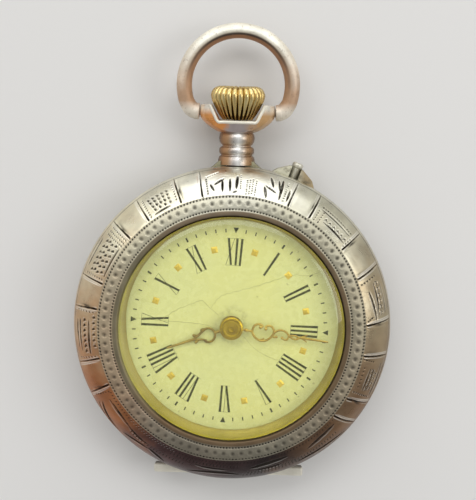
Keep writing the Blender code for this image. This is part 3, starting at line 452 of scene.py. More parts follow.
def toning_and_shade_group():
    """Where the silver has toned, with painted light and shade in the same colours: copper on the left,
    purple brown below and darkest at 6 o'clock as painted shade, clean and brightest towards 12 o'clock as
    painted light.
    """
    outputs = [("Tint", "NodeSocketColor")]
    tree, given, out = group("silver_toning", [("Drift", "NodeSocketFloat", 0.05)], outputs)
    where = millimetres(tree)
    round_case = add(tree, "ShaderNodeTexGradient", {"Vector": where}, gradient_type="RADIAL").outputs["Fac"]
    drift = span(tree, noise(tree, where, 0.32, 3.0), 0.3, 0.7, -1.0, 1.0)
    moved = math_node(tree, "ADD", round_case, math_node(tree, "MULTIPLY", drift, given.outputs["Drift"]))
    # Painted light and shade in the tone: brightest towards 12 o'clock, darkest at 6 o'clock
    tint = ramp(
        tree,
        moved,
        [
            (0.0, (0.60, 0.40, 0.23)), (0.09, (0.47, 0.19, 0.08)),
            (0.18, (0.11, 0.062, 0.06)), (0.28, (0.055, 0.042, 0.042)),
            (0.40, (0.25, 0.145, 0.08)), (0.52, (0.40, 0.32, 0.20)),
            (0.65, (0.58, 0.56, 0.43)), (0.76, (0.86, 0.85, 0.74)),
            (0.88, (0.83, 0.77, 0.56)), (1.0, (0.60, 0.40, 0.23)),
        ],
    )
    middle = span(tree, distance_from(tree, where, 0.0, 0.0), 2.0, 10.5, 1.0, 0.0)
    tree.links.new(mix_colour(tree, middle, tint, (0.50, 0.44, 0.34)), out.inputs["Tint"])
    return tree


def grime_and_shade_group():
    """Dark cuts, partly dirt and partly painted shade of their depth, and painted highlights on their burrs,
    read from the depth stored on the mesh.
    """
    inputs = [("Colour", "NodeSocketColor", None), ("Grime", "NodeSocketColor", None)]
    inputs += [("Bright", "NodeSocketColor", (0.93, 0.91, 0.84, 1.0)), ("Amount", "NodeSocketFloat", 1.0)]
    outputs = [("Colour", "NodeSocketColor"), ("Mask", "NodeSocketFloat")]
    tree, given, out = group("grime_in_cuts", inputs, outputs)
    depth = add(tree, "ShaderNodeAttribute", attribute_name="recess").outputs["Fac"]
    patchy = span(tree, noise(tree, millimetres(tree), 2.4, 3.0), 0.3, 0.6, 0.55, 1.0)
    dirt_and_shade = math_node(tree, "MULTIPLY", math_node(tree, "MULTIPLY", depth, patchy), given.outputs["Amount"])
    mask = span(tree, dirt_and_shade, 0.05, 0.8)
    # Painted highlight on the burrs
    burr_and_highlight = span(tree, depth, -0.1, -0.9, 0.0, 0.6)
    rubbed = mix_colour(tree, burr_and_highlight, given.outputs["Colour"], given.outputs["Bright"])
    tree.links.new(mix_colour(tree, mask, rubbed, given.outputs["Grime"]), out.inputs["Colour"])
    tree.links.new(mask, out.inputs["Mask"])
    return tree


GROUPS = {}


def effect(tree, maker, inputs=None):
    """Places a shared effect in a material; it is built the first time."""
    if maker.__name__ not in GROUPS:
        GROUPS[maker.__name__] = maker()
    return add(tree, "ShaderNodeGroup", inputs, node_tree=GROUPS[maker.__name__])


# Materials
def principled(name, metallic, **fixed):
    made = bpy.data.materials.new(name)
    made.use_nodes = True
    shader = made.node_tree.nodes["Principled BSDF"]
    shader.inputs["Metallic"].default_value = metallic
    for label, value in fixed.items():
        shader.inputs[label.replace("_", " ")].default_value = value
    return made, made.node_tree, shader


def bump(tree, shader, height, strength, distance):
    inputs = {"Height": height, "Strength": strength, "Distance": distance * MM}
    made = add(tree, "ShaderNodeBump", inputs)
    tree.links.new(made.outputs["Normal"], shader.inputs["Normal"])


def coat(tree, shader, base, rough):
    tree.links.new(base, shader.inputs["Base Color"])
    tree.links.new(rough, shader.inputs["Roughness"])


def darker(colour, share):
    return tuple(share * part for part in colour)


def case_toning_and_shade(tree, where):
    """The tone of the whole case with its painted light and shade, which finds its own places."""
    return effect(tree, toning_and_shade_group, {"Drift": 0.035}).outputs["Tint"]


def bow_toning(tree, where):
    """Ivory outside, a dark line and bare copper on the inner side, tan towards the ends."""
    inner = span(tree, distance_from(tree, where, 0.0, BOW_MIDDLE), 4.6, 6.2)
    base = ramp(
        tree,
        inner,
        [
            (0.0, (0.42, 0.22, 0.12)), (0.2, (0.33, 0.17, 0.09)),
            (0.27, (0.06, 0.042, 0.03)), (0.34, (0.08, 0.055, 0.04)),
            (0.43, (0.66, 0.61, 0.49)), (0.6, (0.97, 0.955, 0.84)),
            (1.0, (0.90, 0.85, 0.71)),
        ],
    )
    height = axis(tree, where, "Y")
    patchy = math_node(tree, "MULTIPLY", noise(tree, where, 0.9, 3.0), 3.0)
    low = span(tree, math_node(tree, "ADD", height, patchy), 30.0, 24.6, 0.0, 0.94)
    worn = mix_colour(tree, low, base, (0.43, 0.26, 0.15))
    bare = wash(tree, worn, (0.90, 0.87, 0.76), height, 22.4, 21.5, 0.7)
    pitted = span(tree, noise(tree, where, 2.6, 5.0, 0.7), 0.56, 0.7, 0.0, 0.6)
    return mix_colour(tree, pitted, bare, (0.24, 0.16, 0.105))


def pendant_toning_and_sheen(tree, where):
    """Copper on the left, grey in the middle, tan on the right, pale at the top; down the neck a painted
    highlight in the middle and painted shade at its sides, with copper between.
    """
    side, height = axis(tree, where, "X"), axis(tree, where, "Y")
    drift = math_node(tree, "MULTIPLY", math_node(tree, "SUBTRACT", noise(tree, where, 0.8, 3.0), 0.5), 2.4)
    across = span(tree, math_node(tree, "ADD", side, drift), -3.8, 3.8)
    cup = ramp(
        tree,
        across,
        [
            (0.0, (0.80, 0.38, 0.12)), (0.27, (0.76, 0.31, 0.09)),
            (0.38, (0.40, 0.34, 0.33)), (0.62, (0.40, 0.345, 0.33)),
            (0.74, (0.64, 0.38, 0.17)), (1.0, (0.66, 0.42, 0.20)),
        ],
    )
    # Painted highlight down the middle of the neck, and painted shade at its sides
    neck = ramp(
        tree,
        span(tree, side, -1.8, 1.8),
        [
            (0.0, (0.16, 0.085, 0.045)), (0.14, (0.42, 0.22, 0.10)),
            (0.26, (0.46, 0.28, 0.15)), (0.42, (0.54, 0.50, 0.46)),
            (0.55, (0.96, 0.95, 0.92)), (0.66, (0.52, 0.47, 0.41)),
            (0.8, (0.44, 0.27, 0.14)), (0.9, (0.36, 0.20, 0.09)),
            (1.0, (0.15, 0.085, 0.045)),
        ],
    )
    cup = wash(tree, cup, (0.92, 0.90, 0.80), height, 21.05, 21.75, 0.85)
    return wash(tree, cup, neck, height, 19.45, 19.2)


def ring_toning_and_shade(tree, where):
    """The case's tone with its painted light and shade, with a brown lip of painted shade that is grey on
    the left, and a dark painted shadow where it meets the glass.
    """
    away = distance_from(tree, where, 0.0, 0.0)
    left = span(tree, axis(tree, where, "X"), -6.5, -10.5)
    base = mix_colour(tree, 0.55, case_toning_and_shade(tree, where), (0.53, 0.50, 0.38))
    # Painted shade on the lip beside the glass, greyer on the left
    lip = mix_colour(tree, left, (0.19, 0.115, 0.055), (0.20, 0.18, 0.11))
    base = wash(tree, base, lip, away, 11.88, 11.74, 0.8)
    # Painted shadow: a dark line where the lip meets the glass
    seam_shadow = mix_colour(tree, left, (0.045, 0.032, 0.016), (0.22, 0.19, 0.09))
    return wash(tree, base, seam_shadow, away, 11.42, 11.32)


def guard_toning(tree, where):
    """Pale on the pendant's side of the pin, tan on the other, with brown stains."""
    across = axis(tree, where, "X")
    base = mix_colour(tree, span(tree, across, 6.1, 6.9), (0.64, 0.62, 0.47), (0.40, 0.31, 0.18))
    stains = span(tree, noise(tree, where, 1.9, 4.0), 0.48, 0.66, 0.0, 0.75)
    return mix_colour(tree, stains, base, (0.17, 0.145, 0.09))


def crown_shade(tree, where, base):
    """Painted shade: darker towards the foot of the crown."""
    height = axis(tree, where, "Y")
    return wash(tree, base, (0.50, 0.35, 0.12), height, 22.4, 20.6, 0.85)


def ring_shade(tree, where, base):
    """Brown beside the dial, brighter towards the glass, and pale on the left."""
    away = distance_from(tree, where, 0.0, 0.0)
    left = span(tree, axis(tree, where, "X"), -7.5, -10.8, 0.0, 0.75)
    base = wash(tree, base, (0.74, 0.61, 0.08), away, 10.95, 11.3, 0.9)
    base = mix_colour(tree, left, base, (0.62, 0.56, 0.27))
    return wash(tree, base, (0.34, 0.27, 0.06), away, 10.85, 10.55, 0.75)


def silver_finish(
    name, settings, toned, dull, stipple=0.0, grime_and_shade=0.0, shade=1.0, toning_and_shade=case_toning_and_shade, metal=1.0
):
    """Worn silver: toned with painted light and shade, dark in its cuts from dirt and painted shade, finely
    scratched, and frosted where it is stippled.
    """
    made, tree, shader = principled(name, metal)
    where = millimetres(tree)
    wear = effect(tree, wear_group, {"Grain": 7.0, "Scratches": 0.55})
    base = mix_colour(tree, toned, tuple(settings.silver), toning_and_shade(tree, where))
    cloudy = span(tree, wear.outputs["Cloud"], 0.35, 0.7, 0.82 * shade, 1.06 * shade)
    base = mix_colour(tree, 1.0, base, grey(tree, cloudy), "MULTIPLY")
    height = wear.outputs["Height"]
    rough = span(tree, wear.outputs["Cloud"], 0.3, 0.75, dull, dull + 0.14)
    if stipple:
        pits = add(tree, "ShaderNodeTexVoronoi", {"Vector": where, "Scale": 8.5}, feature="F1")
        deep = math_node(tree, "MULTIPLY", pits.outputs["Distance"], stipple)
        height = math_node(tree, "ADD", height, deep)
    # Dark cuts from dirt and painted shade, and painted highlights on the burrs
    if grime_and_shade:
        dirt_and_shade = effect(tree, grime_and_shade_group, {"Colour": base, "Grime": (*settings.grime_and_shade, 1.0), "Amount": grime_and_shade})
        base = dirt_and_shade.outputs["Colour"]
        rough = math_node(tree, "ADD", rough, math_node(tree, "MULTIPLY", dirt_and_shade.outputs["Mask"], 0.25))
    coat(tree, shader, base, rough)
    bump(tree, shader, height, 0.35, 0.03)
    return made


def metal_finish(name, colour, dull, stain, grain=7.0, scratches=0.4, shade=None):
    """A worked metal with a cloudy polish; the stain takes its duller places, and a shade may go over it."""
    made, tree, shader = principled(name, 1.0)
    wear = effect(tree, wear_group, {"Grain": grain, "Scratches": scratches})
    cloud = span(tree, wear.outputs["Cloud"], 0.38, 0.68)
    base = mix_colour(tree, cloud, tuple(colour), stain)
    if shade:
        base = shade(tree, millimetres(tree), base)
    coat(tree, shader, base, span(tree, wear.outputs["Cloud"], 0.3, 0.75, dull, dull + 0.16))
    bump(tree, shader, wear.outputs["Height"], 0.3, 0.02)
    return made


def striped_finish(name, colour, dull, pitch):
    """A bridge finished with broad parallel stripes."""
    made, tree, shader = principled(name, 1.0)
    where = millimetres(tree)
    wear = effect(tree, wear_group, {"Grain": 10.0, "Scratches": 0.15})
    inputs = {"Vector": where, "Scale": 0.314 / pitch, "Distortion": 0.3, "Detail": 1.0}
    stripes = add(tree, "ShaderNodeTexWave", inputs, bands_direction="DIAGONAL", wave_profile="SAW")
    waves = stripes.outputs["Fac"]
    base = mix_colour(tree, span(tree, waves, 0.0, 1.0, 0.0, 0.35), colour, darker(colour, 0.6))
    coat(tree, shader, base, span(tree, wear.outputs["Cloud"], 0.3, 0.75, dull, dull + 0.12))
    height = math_node(tree, "ADD", waves, math_node(tree, "MULTIPLY", wear.outputs["Height"], 0.4))
    bump(tree, shader, height, 0.35, 0.05)
    return made


def glass_finish():
    """Clear glass that lets the lamps through to the dial."""
    fixed = {"Roughness": 0.02, "IOR": 1.45, "Transmission_Weight": 1.0, "Specular_IOR_Level": 0.25}
    made, tree, shader = principled("watch_glass", 0.0, Base_Color=(0.97, 0.985, 0.95, 1.0), **fixed)
    clear = add(tree, "ShaderNodeBsdfTransparent", {"Color": (0.93, 0.95, 0.90, 1.0)})
    rays = add(tree, "ShaderNodeLightPath")
    choose = add(tree, "ShaderNodeMixShader", {0: rays.outputs["Is Shadow Ray"]})
    tree.links.new(shader.outputs["BSDF"], choose.inputs[1])
    tree.links.new(clear.outputs["BSDF"], choose.inputs[2])
    tree.links.new(choose.outputs["Shader"], tree.nodes["Material Output"].inputs["Surface"])
    return made


def enamel_finish(settings):
    """Aged enamel: yellowed unevenly, greyer towards its edge, with a few specks of dirt."""
    made, tree, shader = principled("aged_enamel", 0.0, Coat_Weight=0.2, Coat_Roughness=0.08)
    where = millimetres(tree)
    cream = tuple(settings.enamel)
    yellowed = span(tree, noise(tree, where, 0.14, 2.0), 0.35, 0.65, 0.0, 0.7)
    base = mix_colour(tree, yellowed, cream, (cream[0] * 1.03, cream[1] * 0.99, cream[2] * 0.82))
    away = distance_from(tree, where, 0.0, 0.0)
    base = wash(tree, base, (0.52, 0.53, 0.24), away, 8.8, 10.9, 0.3)
    specks = span(tree, noise(tree, where, 2.1, 2.0, 0.4), 0.735, 0.77, 0.0, 0.6)
    near = span(tree, away, 1.2, 2.4, 0.6, 0.0)
    stains = math_node(tree, "MULTIPLY", span(tree, noise(tree, where, 1.7, 4.0), 0.5, 0.66), near)
    base = mix_colour(tree, math_node(tree, "MAXIMUM", specks, stains), base, (0.36, 0.33, 0.09))
    coat(tree, shader, base, span(tree, noise(tree, where, 1.3, 3.0), 0.3, 0.7, 0.2, 0.34))
    bump(tree, shader, noise(tree, where, 1.1, 4.0), 0.05, 0.04)
    return made


def ink_finish(name, colour, faded):
    """Fired ink with worn patches."""
    made, tree, shader = principled(name, 0.0, Specular_IOR_Level=0.2)
    patchy = span(tree, noise(tree, millimetres(tree), 3.4, 4.0, 0.7), 0.42, 0.66)
    base = mix_colour(tree, patchy, tuple(colour), faded)
    coat(tree, shader, base, span(tree, patchy, 0.0, 1.0, 0.45, 0.6))
    return made


def floor_finish(colour):
    made, tree, shader = principled("pale_floor", 0.0, Roughness=0.85)
    shade = noise(tree, add(tree, "ShaderNodeTexCoord").outputs["Object"], 9.0, 3.0)
    base = mix_colour(tree, span(tree, shade, 0.35, 0.65), tuple(colour), darker(colour, 0.985))
    tree.links.new(base, shader.inputs["Base Color"])
    return made


# Engraving on the bezel
BEZEL_OUTER = (
    (11.2, 8.24), (11.55, 8.4), (12.6, 8.32), (13.25, 8.12), (14.1, 7.7), (14.95, 7.02),
    (15.65, 6.1), (16.0, 5.2), (16.0, 4.76),
)
RING_EDGE = 13.36
INNER_ROW = (11.97, 248)
OUTER_ROW = (13.22, 254)
SMALL_DOT = (0.115, 0.06)
ROW_GROOVE = 0.03
PUNCH_RADIUS = 12.62
PUNCH_SIZE = (0.29, 0.3)
PUNCH_DEPTH = 0.09
# Darkness in the punched dots: partly dirt, partly painted shade. The underside is darkened as well, as
# painted shade where it reaches the wall that holds the glass
PUNCH_DIRT_AND_SHADE = 0.66
SECTION_ROWS = 46
UNDERSIDE_DARKENING = {"ring": 0.35, "band": 0.4}
BURR_HEIGHT = 0.03
PANEL_RADIUS = 14.9
MM_PER_DEGREE = math.radians(PANEL_RADIUS)


class Engraving:
    """Heights over the bezel's band: degrees clockwise from 12 across, millimetres down its slope."""

    def __init__(self, degrees, slope, depth):
        self.degrees = degrees
        self.slope = slope
        self.depth = depth
        self.form = np.zeros((len(slope), len(degrees)))
        self.cuts = np.zeros_like(self.form)
        self.burr_and_highlight = np.zeros_like(self.form)

    def near(self, low, high):
        """Columns between two bearings, with their distance in degrees from the first."""
        offset = (self.degrees - low) % 360.0
        columns = np.nonzero(offset <= high - low)[0]
        return columns, offset[columns]

    def cut(self, start, end, width, depth=1.0, bow=0.0, blunt=False, edge=0.8, side=0):
        """One stroke with raised edges that carry a painted highlight, or an edge on one side only; pointed,
        or blunt at its end.
        """
        reach = (width + abs(bow)) / MM_PER_DEGREE + 0.5
        low = min(start[0], end[0]) - reach
        columns, offset = self.near(low, max(start[0], end[0]) + reach)
        across = (offset + low - start[0]) * MM_PER_DEGREE
        down = self.slope - start[1]
        run = ((end[0] - start[0]) * MM_PER_DEGREE, end[1] - start[1])
        size = math.hypot(*run)
        ux, uy = run[0] / size, run[1] / size
        along = (across[None, :] * ux + down[:, None] * uy) / size
        inside = np.clip(along, 0.0, 1.0)
        signed = down[:, None] * ux - across[None, :] * uy - bow * 4 * inside * (1 - inside)
        aside = np.abs(signed)
        taper = np.sqrt(inside) if blunt else np.sqrt(4 * inside * (1 - inside))
        within = (along > 0) & (along < 1)
        groove = np.where(within, np.clip(1 - aside / np.maximum(width * taper, 1e-6), 0, 1) * taper, 0.0)
        rim = np.where(within, bell(aside - width * taper, 0.06, 0.055) * taper, 0.0)
        if side:
            rim = np.where(signed * side > 0, rim, 0.0)
        self.cuts[:, columns] = np.maximum(self.cuts[:, columns], depth * groove)
        self.burr_and_highlight[:, columns] = np.maximum(self.burr_and_highlight[:, columns], edge * rim)

    def dot(self, spot, radius, depth=1.0):
        reach = radius / MM_PER_DEGREE + 0.2
        columns, offset = self.near(spot[0] - reach, spot[0] + reach)
        across = (offset - reach) * MM_PER_DEGREE
        away = np.hypot(across[None, :], (self.slope - spot[1])[:, None]) / radius
        self.cuts[:, columns] = np.maximum(self.cuts[:, columns], depth * np.clip(1.3 * (1 - away**2), 0, 1))

    def heights(self):
        raised = BURR_HEIGHT * self.burr_and_highlight * (1 - np.clip(self.cuts, 0, 1))
        return self.form - self.depth * self.cuts + raised

    def marks(self):
        """How dark the cuts are, from dirt and painted shade, and below nought how bright the burrs are, as
        painted highlights.
        """
        dirt = np.clip(2.3 * self.cuts, 0.0, 0.95)
        return dirt - self.burr_and_highlight * (1 - dirt)


def spread(low, high, count):
    return [low + (high - low) * k / (count - 1) for k in range(count)]


def ladder(sheet, at, low, high, rows, half=0.42):
    """A column of short strokes."""
    for slope in spread(low, high, rows):
        sheet.cut((at - half, slope), (at + half, slope + 0.04), 0.1, 1.0)


def dots(sheet, start, end, count, radius=0.1):
    for at, slope in zip(spread(start[0], end[0], count), spread(start[1], end[1], count)):
        sheet.dot((at, slope), radius)


def ticks(sheet, start, end, count, slope, size=0.52):
    """A row of three-cornered cuts."""
    for at in spread(start, end, count):
        sheet.cut((at - size, slope + 0.18), (at + size, slope - 0.15), 0.18, 1.2, blunt=True, edge=1.0)


def scallops(sheet, start, end, count, slope, rise):
    """A row of arches standing on one line."""
    sheet.cut((start, slope), (end, slope), 0.11, 1.4)
    half = (end - start) / count / 2
    for k in range(count):
        at = start + (2 * k + 1) * half
        sheet.cut((at - half, slope + 0.05), (at + 0.9 * half, slope + 0.1), 0.1, 1.2, rise)


def plain_panel(sheet, start, end, shaded=0.75):
    """A panel left bright, hollow, with a dark crescent of painted shade beside one neighbour."""
    columns, offset = sheet.near(start, end)
    place = np.clip(offset / (end - start), 0.0, 1.0)
    edge = np.minimum(offset, end - start - offset)
    hollow = 0.05 * np.sin(np.pi * place) ** 0.8 + 0.09 * bell(edge, 0.6, 0.7)
    fade = np.clip((sheet.slope - 0.2) / 0.5, 0.0, 1.0) * np.clip((3.4 - sheet.slope) / 0.6, 0.0, 1.0)
    sheet.form[:, columns] -= fade[:, None] * hollow[None, :]
    # Painted shade: the dark crescent in the hollow beside one neighbour
    beside = bell(offset, shaded, 0.6)
    lens = bell(sheet.slope, 1.5, 0.75)
    sheet.cuts[:, columns] = np.maximum(sheet.cuts[:, columns], 0.36 * lens[:, None] * beside[None, :])


def late_plain_panel(sheet, start, end):
    plain_panel(sheet, start, end, end - start - 0.8)


def bright_panel(sheet, start, end):
    """Bright lens-shaped cuts on both sides of columns of dashes, between two ladders."""
    dots(sheet, (start + 2.2, 0.35), (start + 2.2, 2.3), 8)
    rungs = ((2.2, 0.75, 2.3), (4.7, 0.2, 1.7), (5.8, 0.25, 1.8), (6.9, 0.3, 1.9), (8.2, 0.2, 1.8))
    for at, low, high in rungs:
        ladder(sheet, at, low, high, 7, 0.36)
    ladder(sheet, end - 3.0, 0.4, 2.6, 9, 0.5)
    for head, foot, width in (
        ((-11.6, 2.2), (-5.6, 2.9), 0.07),
        ((-8.3, 1.2), (-4.2, 1.9), 0.15),
        ((-9.9, 1.4), (-8.4, 0.5), 0.14),
        ((-4.9, 1.75), (-5.1, 0.35), 0.14),
        ((-2.0, 1.9), (-2.0, 0.35), 0.14),
        ((0.9, 2.3), (0.5, 0.6), 0.18),
        ((11.5, 1.4), (13.1, 0.15), 0.17),
        ((13.2, 2.8), (15.0, 1.5), 0.15),
        ((11.7, 1.5), (16.9, 0.95), 0.14),
        ((16.4, 2.7), (17.7, 1.3), 0.12),
        ((17.9, 2.9), (18.4, 0.3), 0.16),
        ((21.5, 1.9), (21.5, 0.45), 0.12),
    ):
        sheet.cut(head, foot, width, 1.7, edge=1.0)
    dots(sheet, (-0.6, 0.3), (0.6, 0.4), 3, 0.09)


def crest_panel(sheet, start, end):
    """A row of arches under one long groove."""
    dots(sheet, (start + 2.2, 0.3), (start + 2.2, 1.5), 5)
    dots(sheet, (start + 4.2, 0.35), (start + 4.2, 1.6), 5, 0.085)
    sheet.cut((start + 1.4, 1.75), (end - 2.0, 1.8), 0.1, 1.4)
    dots(sheet, (start + 3.0, 2.15), (end - 2.4, 2.2), 14, 0.085)
    scallops(sheet, start + 5.5, end - 1.2, 6, 0.72, 0.34)
    dots(sheet, (end - 0.9, 0.5), (end - 0.9, 1.6), 4, 0.085)


def comb_panel(sheet, start, end):
    """A row of arches over a sloping groove."""
    dots(sheet, (start + 3.6, 0.3), (start + 2.4, 2.2), 6)
    scallops(sheet, start + 4.2, end - 2.4, 6, 1.72, 0.4)
    sheet.cut((start + 6.8, 0.85), (end - 0.4, 1.35), 0.11, 1.5)
    sheet.cut((start + 5.0, 2.6), (end - 3.0, 2.7), 0.06, 0.8)
    dots(sheet, (end - 2.2, 0.75), (end - 1.0, 0.3), 3, 0.09)


def arch_panel(sheet, start, end):
    """A patch of arches under two long grooves."""
    for slope in (2.7, 3.25):
        sheet.cut((start + 2.4, slope), (end - 2.2, slope + 0.05), 0.1, 1.4)
    scallops(sheet, start + 5.2, end - 4.4, 5, 1.3, 0.4)
    scallops(sheet, start + 6.2, end - 5.0, 4, 1.8, 0.35)
    dots(sheet, (start + 2.0, 0.25), (start + 2.4, 1.4), 5, 0.09)
    dots(sheet, (start + 5.5, 0.5), (end - 5.5, 0.6), 6, 0.085)
    ladder(sheet, end - 2.9, 0.4, 2.4, 8)


def leaf_panel(sheet, start, end):
    """Long curved leaf cuts over a border of small ticks."""
    for head, foot, width, bow in (
        ((131.0, 3.2), (152.8, 2.5), 0.2, -0.25),
        ((131.5, 0.8), (146.6, 1.2), 0.17, -0.1),
        ((154.6, 0.85), (171.5, 1.2), 0.2, -0.12),
        ((158.5, 1.6), (168.5, 1.6), 0.14, 0.05),
        ((175.0, 2.2), (196.0, 2.8), 0.22, -0.6),
        ((180.0, 1.2), (194.0, 1.1), 0.12, 0.1),
        ((204.8, 2.85), (213.0, 1.9), 0.2, -0.15),
        ((212.5, 2.05), (224.0, 2.8), 0.19, -0.2),
        ((214.0, 1.4), (224.5, 1.1), 0.14, 0.1),
        ((224.5, 3.3), (238.5, 2.0), 0.22, 0.35),
        ((226.0, 3.5), (239.0, 2.7), 0.14, 0.3),
        ((224.0, 1.1), (238.0, 0.9), 0.14, -0.1),
    ):
        sheet.cut(head, foot, width, 1.6, bow, edge=1.0, side=1)
    hatched = ((1.9, 134.0, 172.0), (1.5, 198.0, 222.0), (0.75, 176.0, 204.0), (2.3, 146.0, 174.0))
    for slope, low, high in hatched:
        for at in spread(low, high, int((high - low) / 1.3)):
            sheet.cut((at, slope - 0.22), (at + 0.2, slope + 0.22), 0.08, 0.6, edge=0.15)
    for at in spread(start + 3.0, end - 3.0, 76):
        sheet.cut((at - 0.35, 0.24), (at + 0.3, 0.4), 0.09, 0.7, edge=0.5 if 203.0 < at < 226.0 else 0.1)
    dots(sheet, (end - 2.2, 0.5), (end - 1.6, 2.4), 6, 0.09)


def barred_panel(sheet, start, end):
    """Long grooves outside and inside a row of ticks."""
    for head, foot in (((4.6, 2.65), (17.0, 2.75)), ((4.0, 2.2), (17.4, 2.25)), ((1.6, 1.05), (17.5, 0.95))):
        sheet.cut((start + head[0], head[1]), (start + foot[0], foot[1]), 0.12, 1.5)
    ticks(sheet, start + 3.8, end - 5.0, 7, 1.6)
    ticks(sheet, start + 5.8, end - 3.4, 6, 0.4, 0.35)
    for at in (start + 1.5, end - 1.3):
        ladder(sheet, at, 0.5, 2.6, 6, 0.36)


def ticked_panel(sheet, start, end):
    """Rows of ticks between two long grooves, with ladders at both ends."""
    ladder(sheet, start + 1.6, 0.4, 2.6, 8)
    for slope in (0.3, 2.95):
        sheet.cut((start + 2.8, slope), (end - 6.2, slope), 0.1, 1.4)
    for slope, shift in ((2.2, 0.0), (1.75, 0.5), (1.3, 0.0), (0.8, 0.6)):
        ticks(sheet, start + 3.4 + shift, end - 7.0 + shift, 6, slope)
    for at in (end - 4.8, end - 3.3, end - 1.7):
        ladder(sheet, at, 0.3, 2.6, 9)


def small_ticked_panel(sheet, start, end):
    """Short rows of ticks over one long groove, with ladders at both ends."""
    ladder(sheet, start + 1.6, 0.3, 2.6, 9, 0.5)
    ladder(sheet, end - 1.4, 0.7, 2.6, 7)
    sheet.cut((start + 3.2, 0.3), (end - 3.6, 0.35), 0.1, 1.4)
    for slope, shift, count in ((2.2, 0.0, 5), (1.75, 0.3, 5), (1.25, 0.6, 5), (0.8, 0.9, 4)):
        ticks(sheet, start + 3.6 + shift, end - 4.2, count, slope, 0.4)


PANELS = (
    (bright_panel, -13.3, 23.1, -0.25),
    (late_plain_panel, 23.1, 32.8, -0.3),
    (crest_panel, 32.8, 52.3, 0.2),
    (plain_panel, 52.3, 65.8, 0.0),
    (comb_panel, 65.8, 86.2, 0.8),
    (plain_panel, 86.2, 99.5, 0.7),
    (arch_panel, 99.5, 118.8, 0.55),
    (plain_panel, 118.8, 127.9, 0.95),
    (leaf_panel, 127.9, 243.3, 1.0),
    (plain_panel, 243.3, 255.3, 0.55),
    (barred_panel, 255.3, 276.5, 0.5),
    (plain_panel, 276.5, 288.0, 0.5),
    (ticked_panel, 288.0, 310.5, 0.0),
    (plain_panel, 310.5, 321.7, 0.25),
    (small_ticked_panel, 321.7, 337.2, 0.0),
    (plain_panel, 337.2, 346.7, 0.0),
)


def bearings(columns):
    return np.arange(columns) * 360.0 / columns


def lathe_points(line, normals, degrees, heights):
    """Points of a ring whose section is pushed along its normals by the heights."""
    radius = line[:, 0, None] + normals[:, 0, None] * heights
    level = line[:, 1, None] + normals[:, 1, None] * heights
    angle = np.radians(degrees)[None, :]
    return np.stack([radius * np.sin(angle), radius * np.cos(angle), level], -1)


def plain_rows(section, degrees):
    """Points of a ring with a smooth section."""
    line = np.array(section)
    return lathe_points(line, np.zeros_like(line), degrees, np.zeros((len(line), len(degrees))))


def section_normals(line):
    run = np.gradient(line, axis=0)
    size = np.linalg.norm(run, axis=1, keepdims=True)
    return np.stack([-run[:, 1], run[:, 0]], 1) / size


def hinge_room(points, half, inner, level, limit):
    """Keeps a ring clear of the knuckles of its hinge: limit holds its points above or below a level."""
    near = (np.abs(points[..., 0]) < half) & (points[..., 1] < inner)
    points[..., 2] = np.where(near, limit(points[..., 2], level), points[..., 2])
    return points


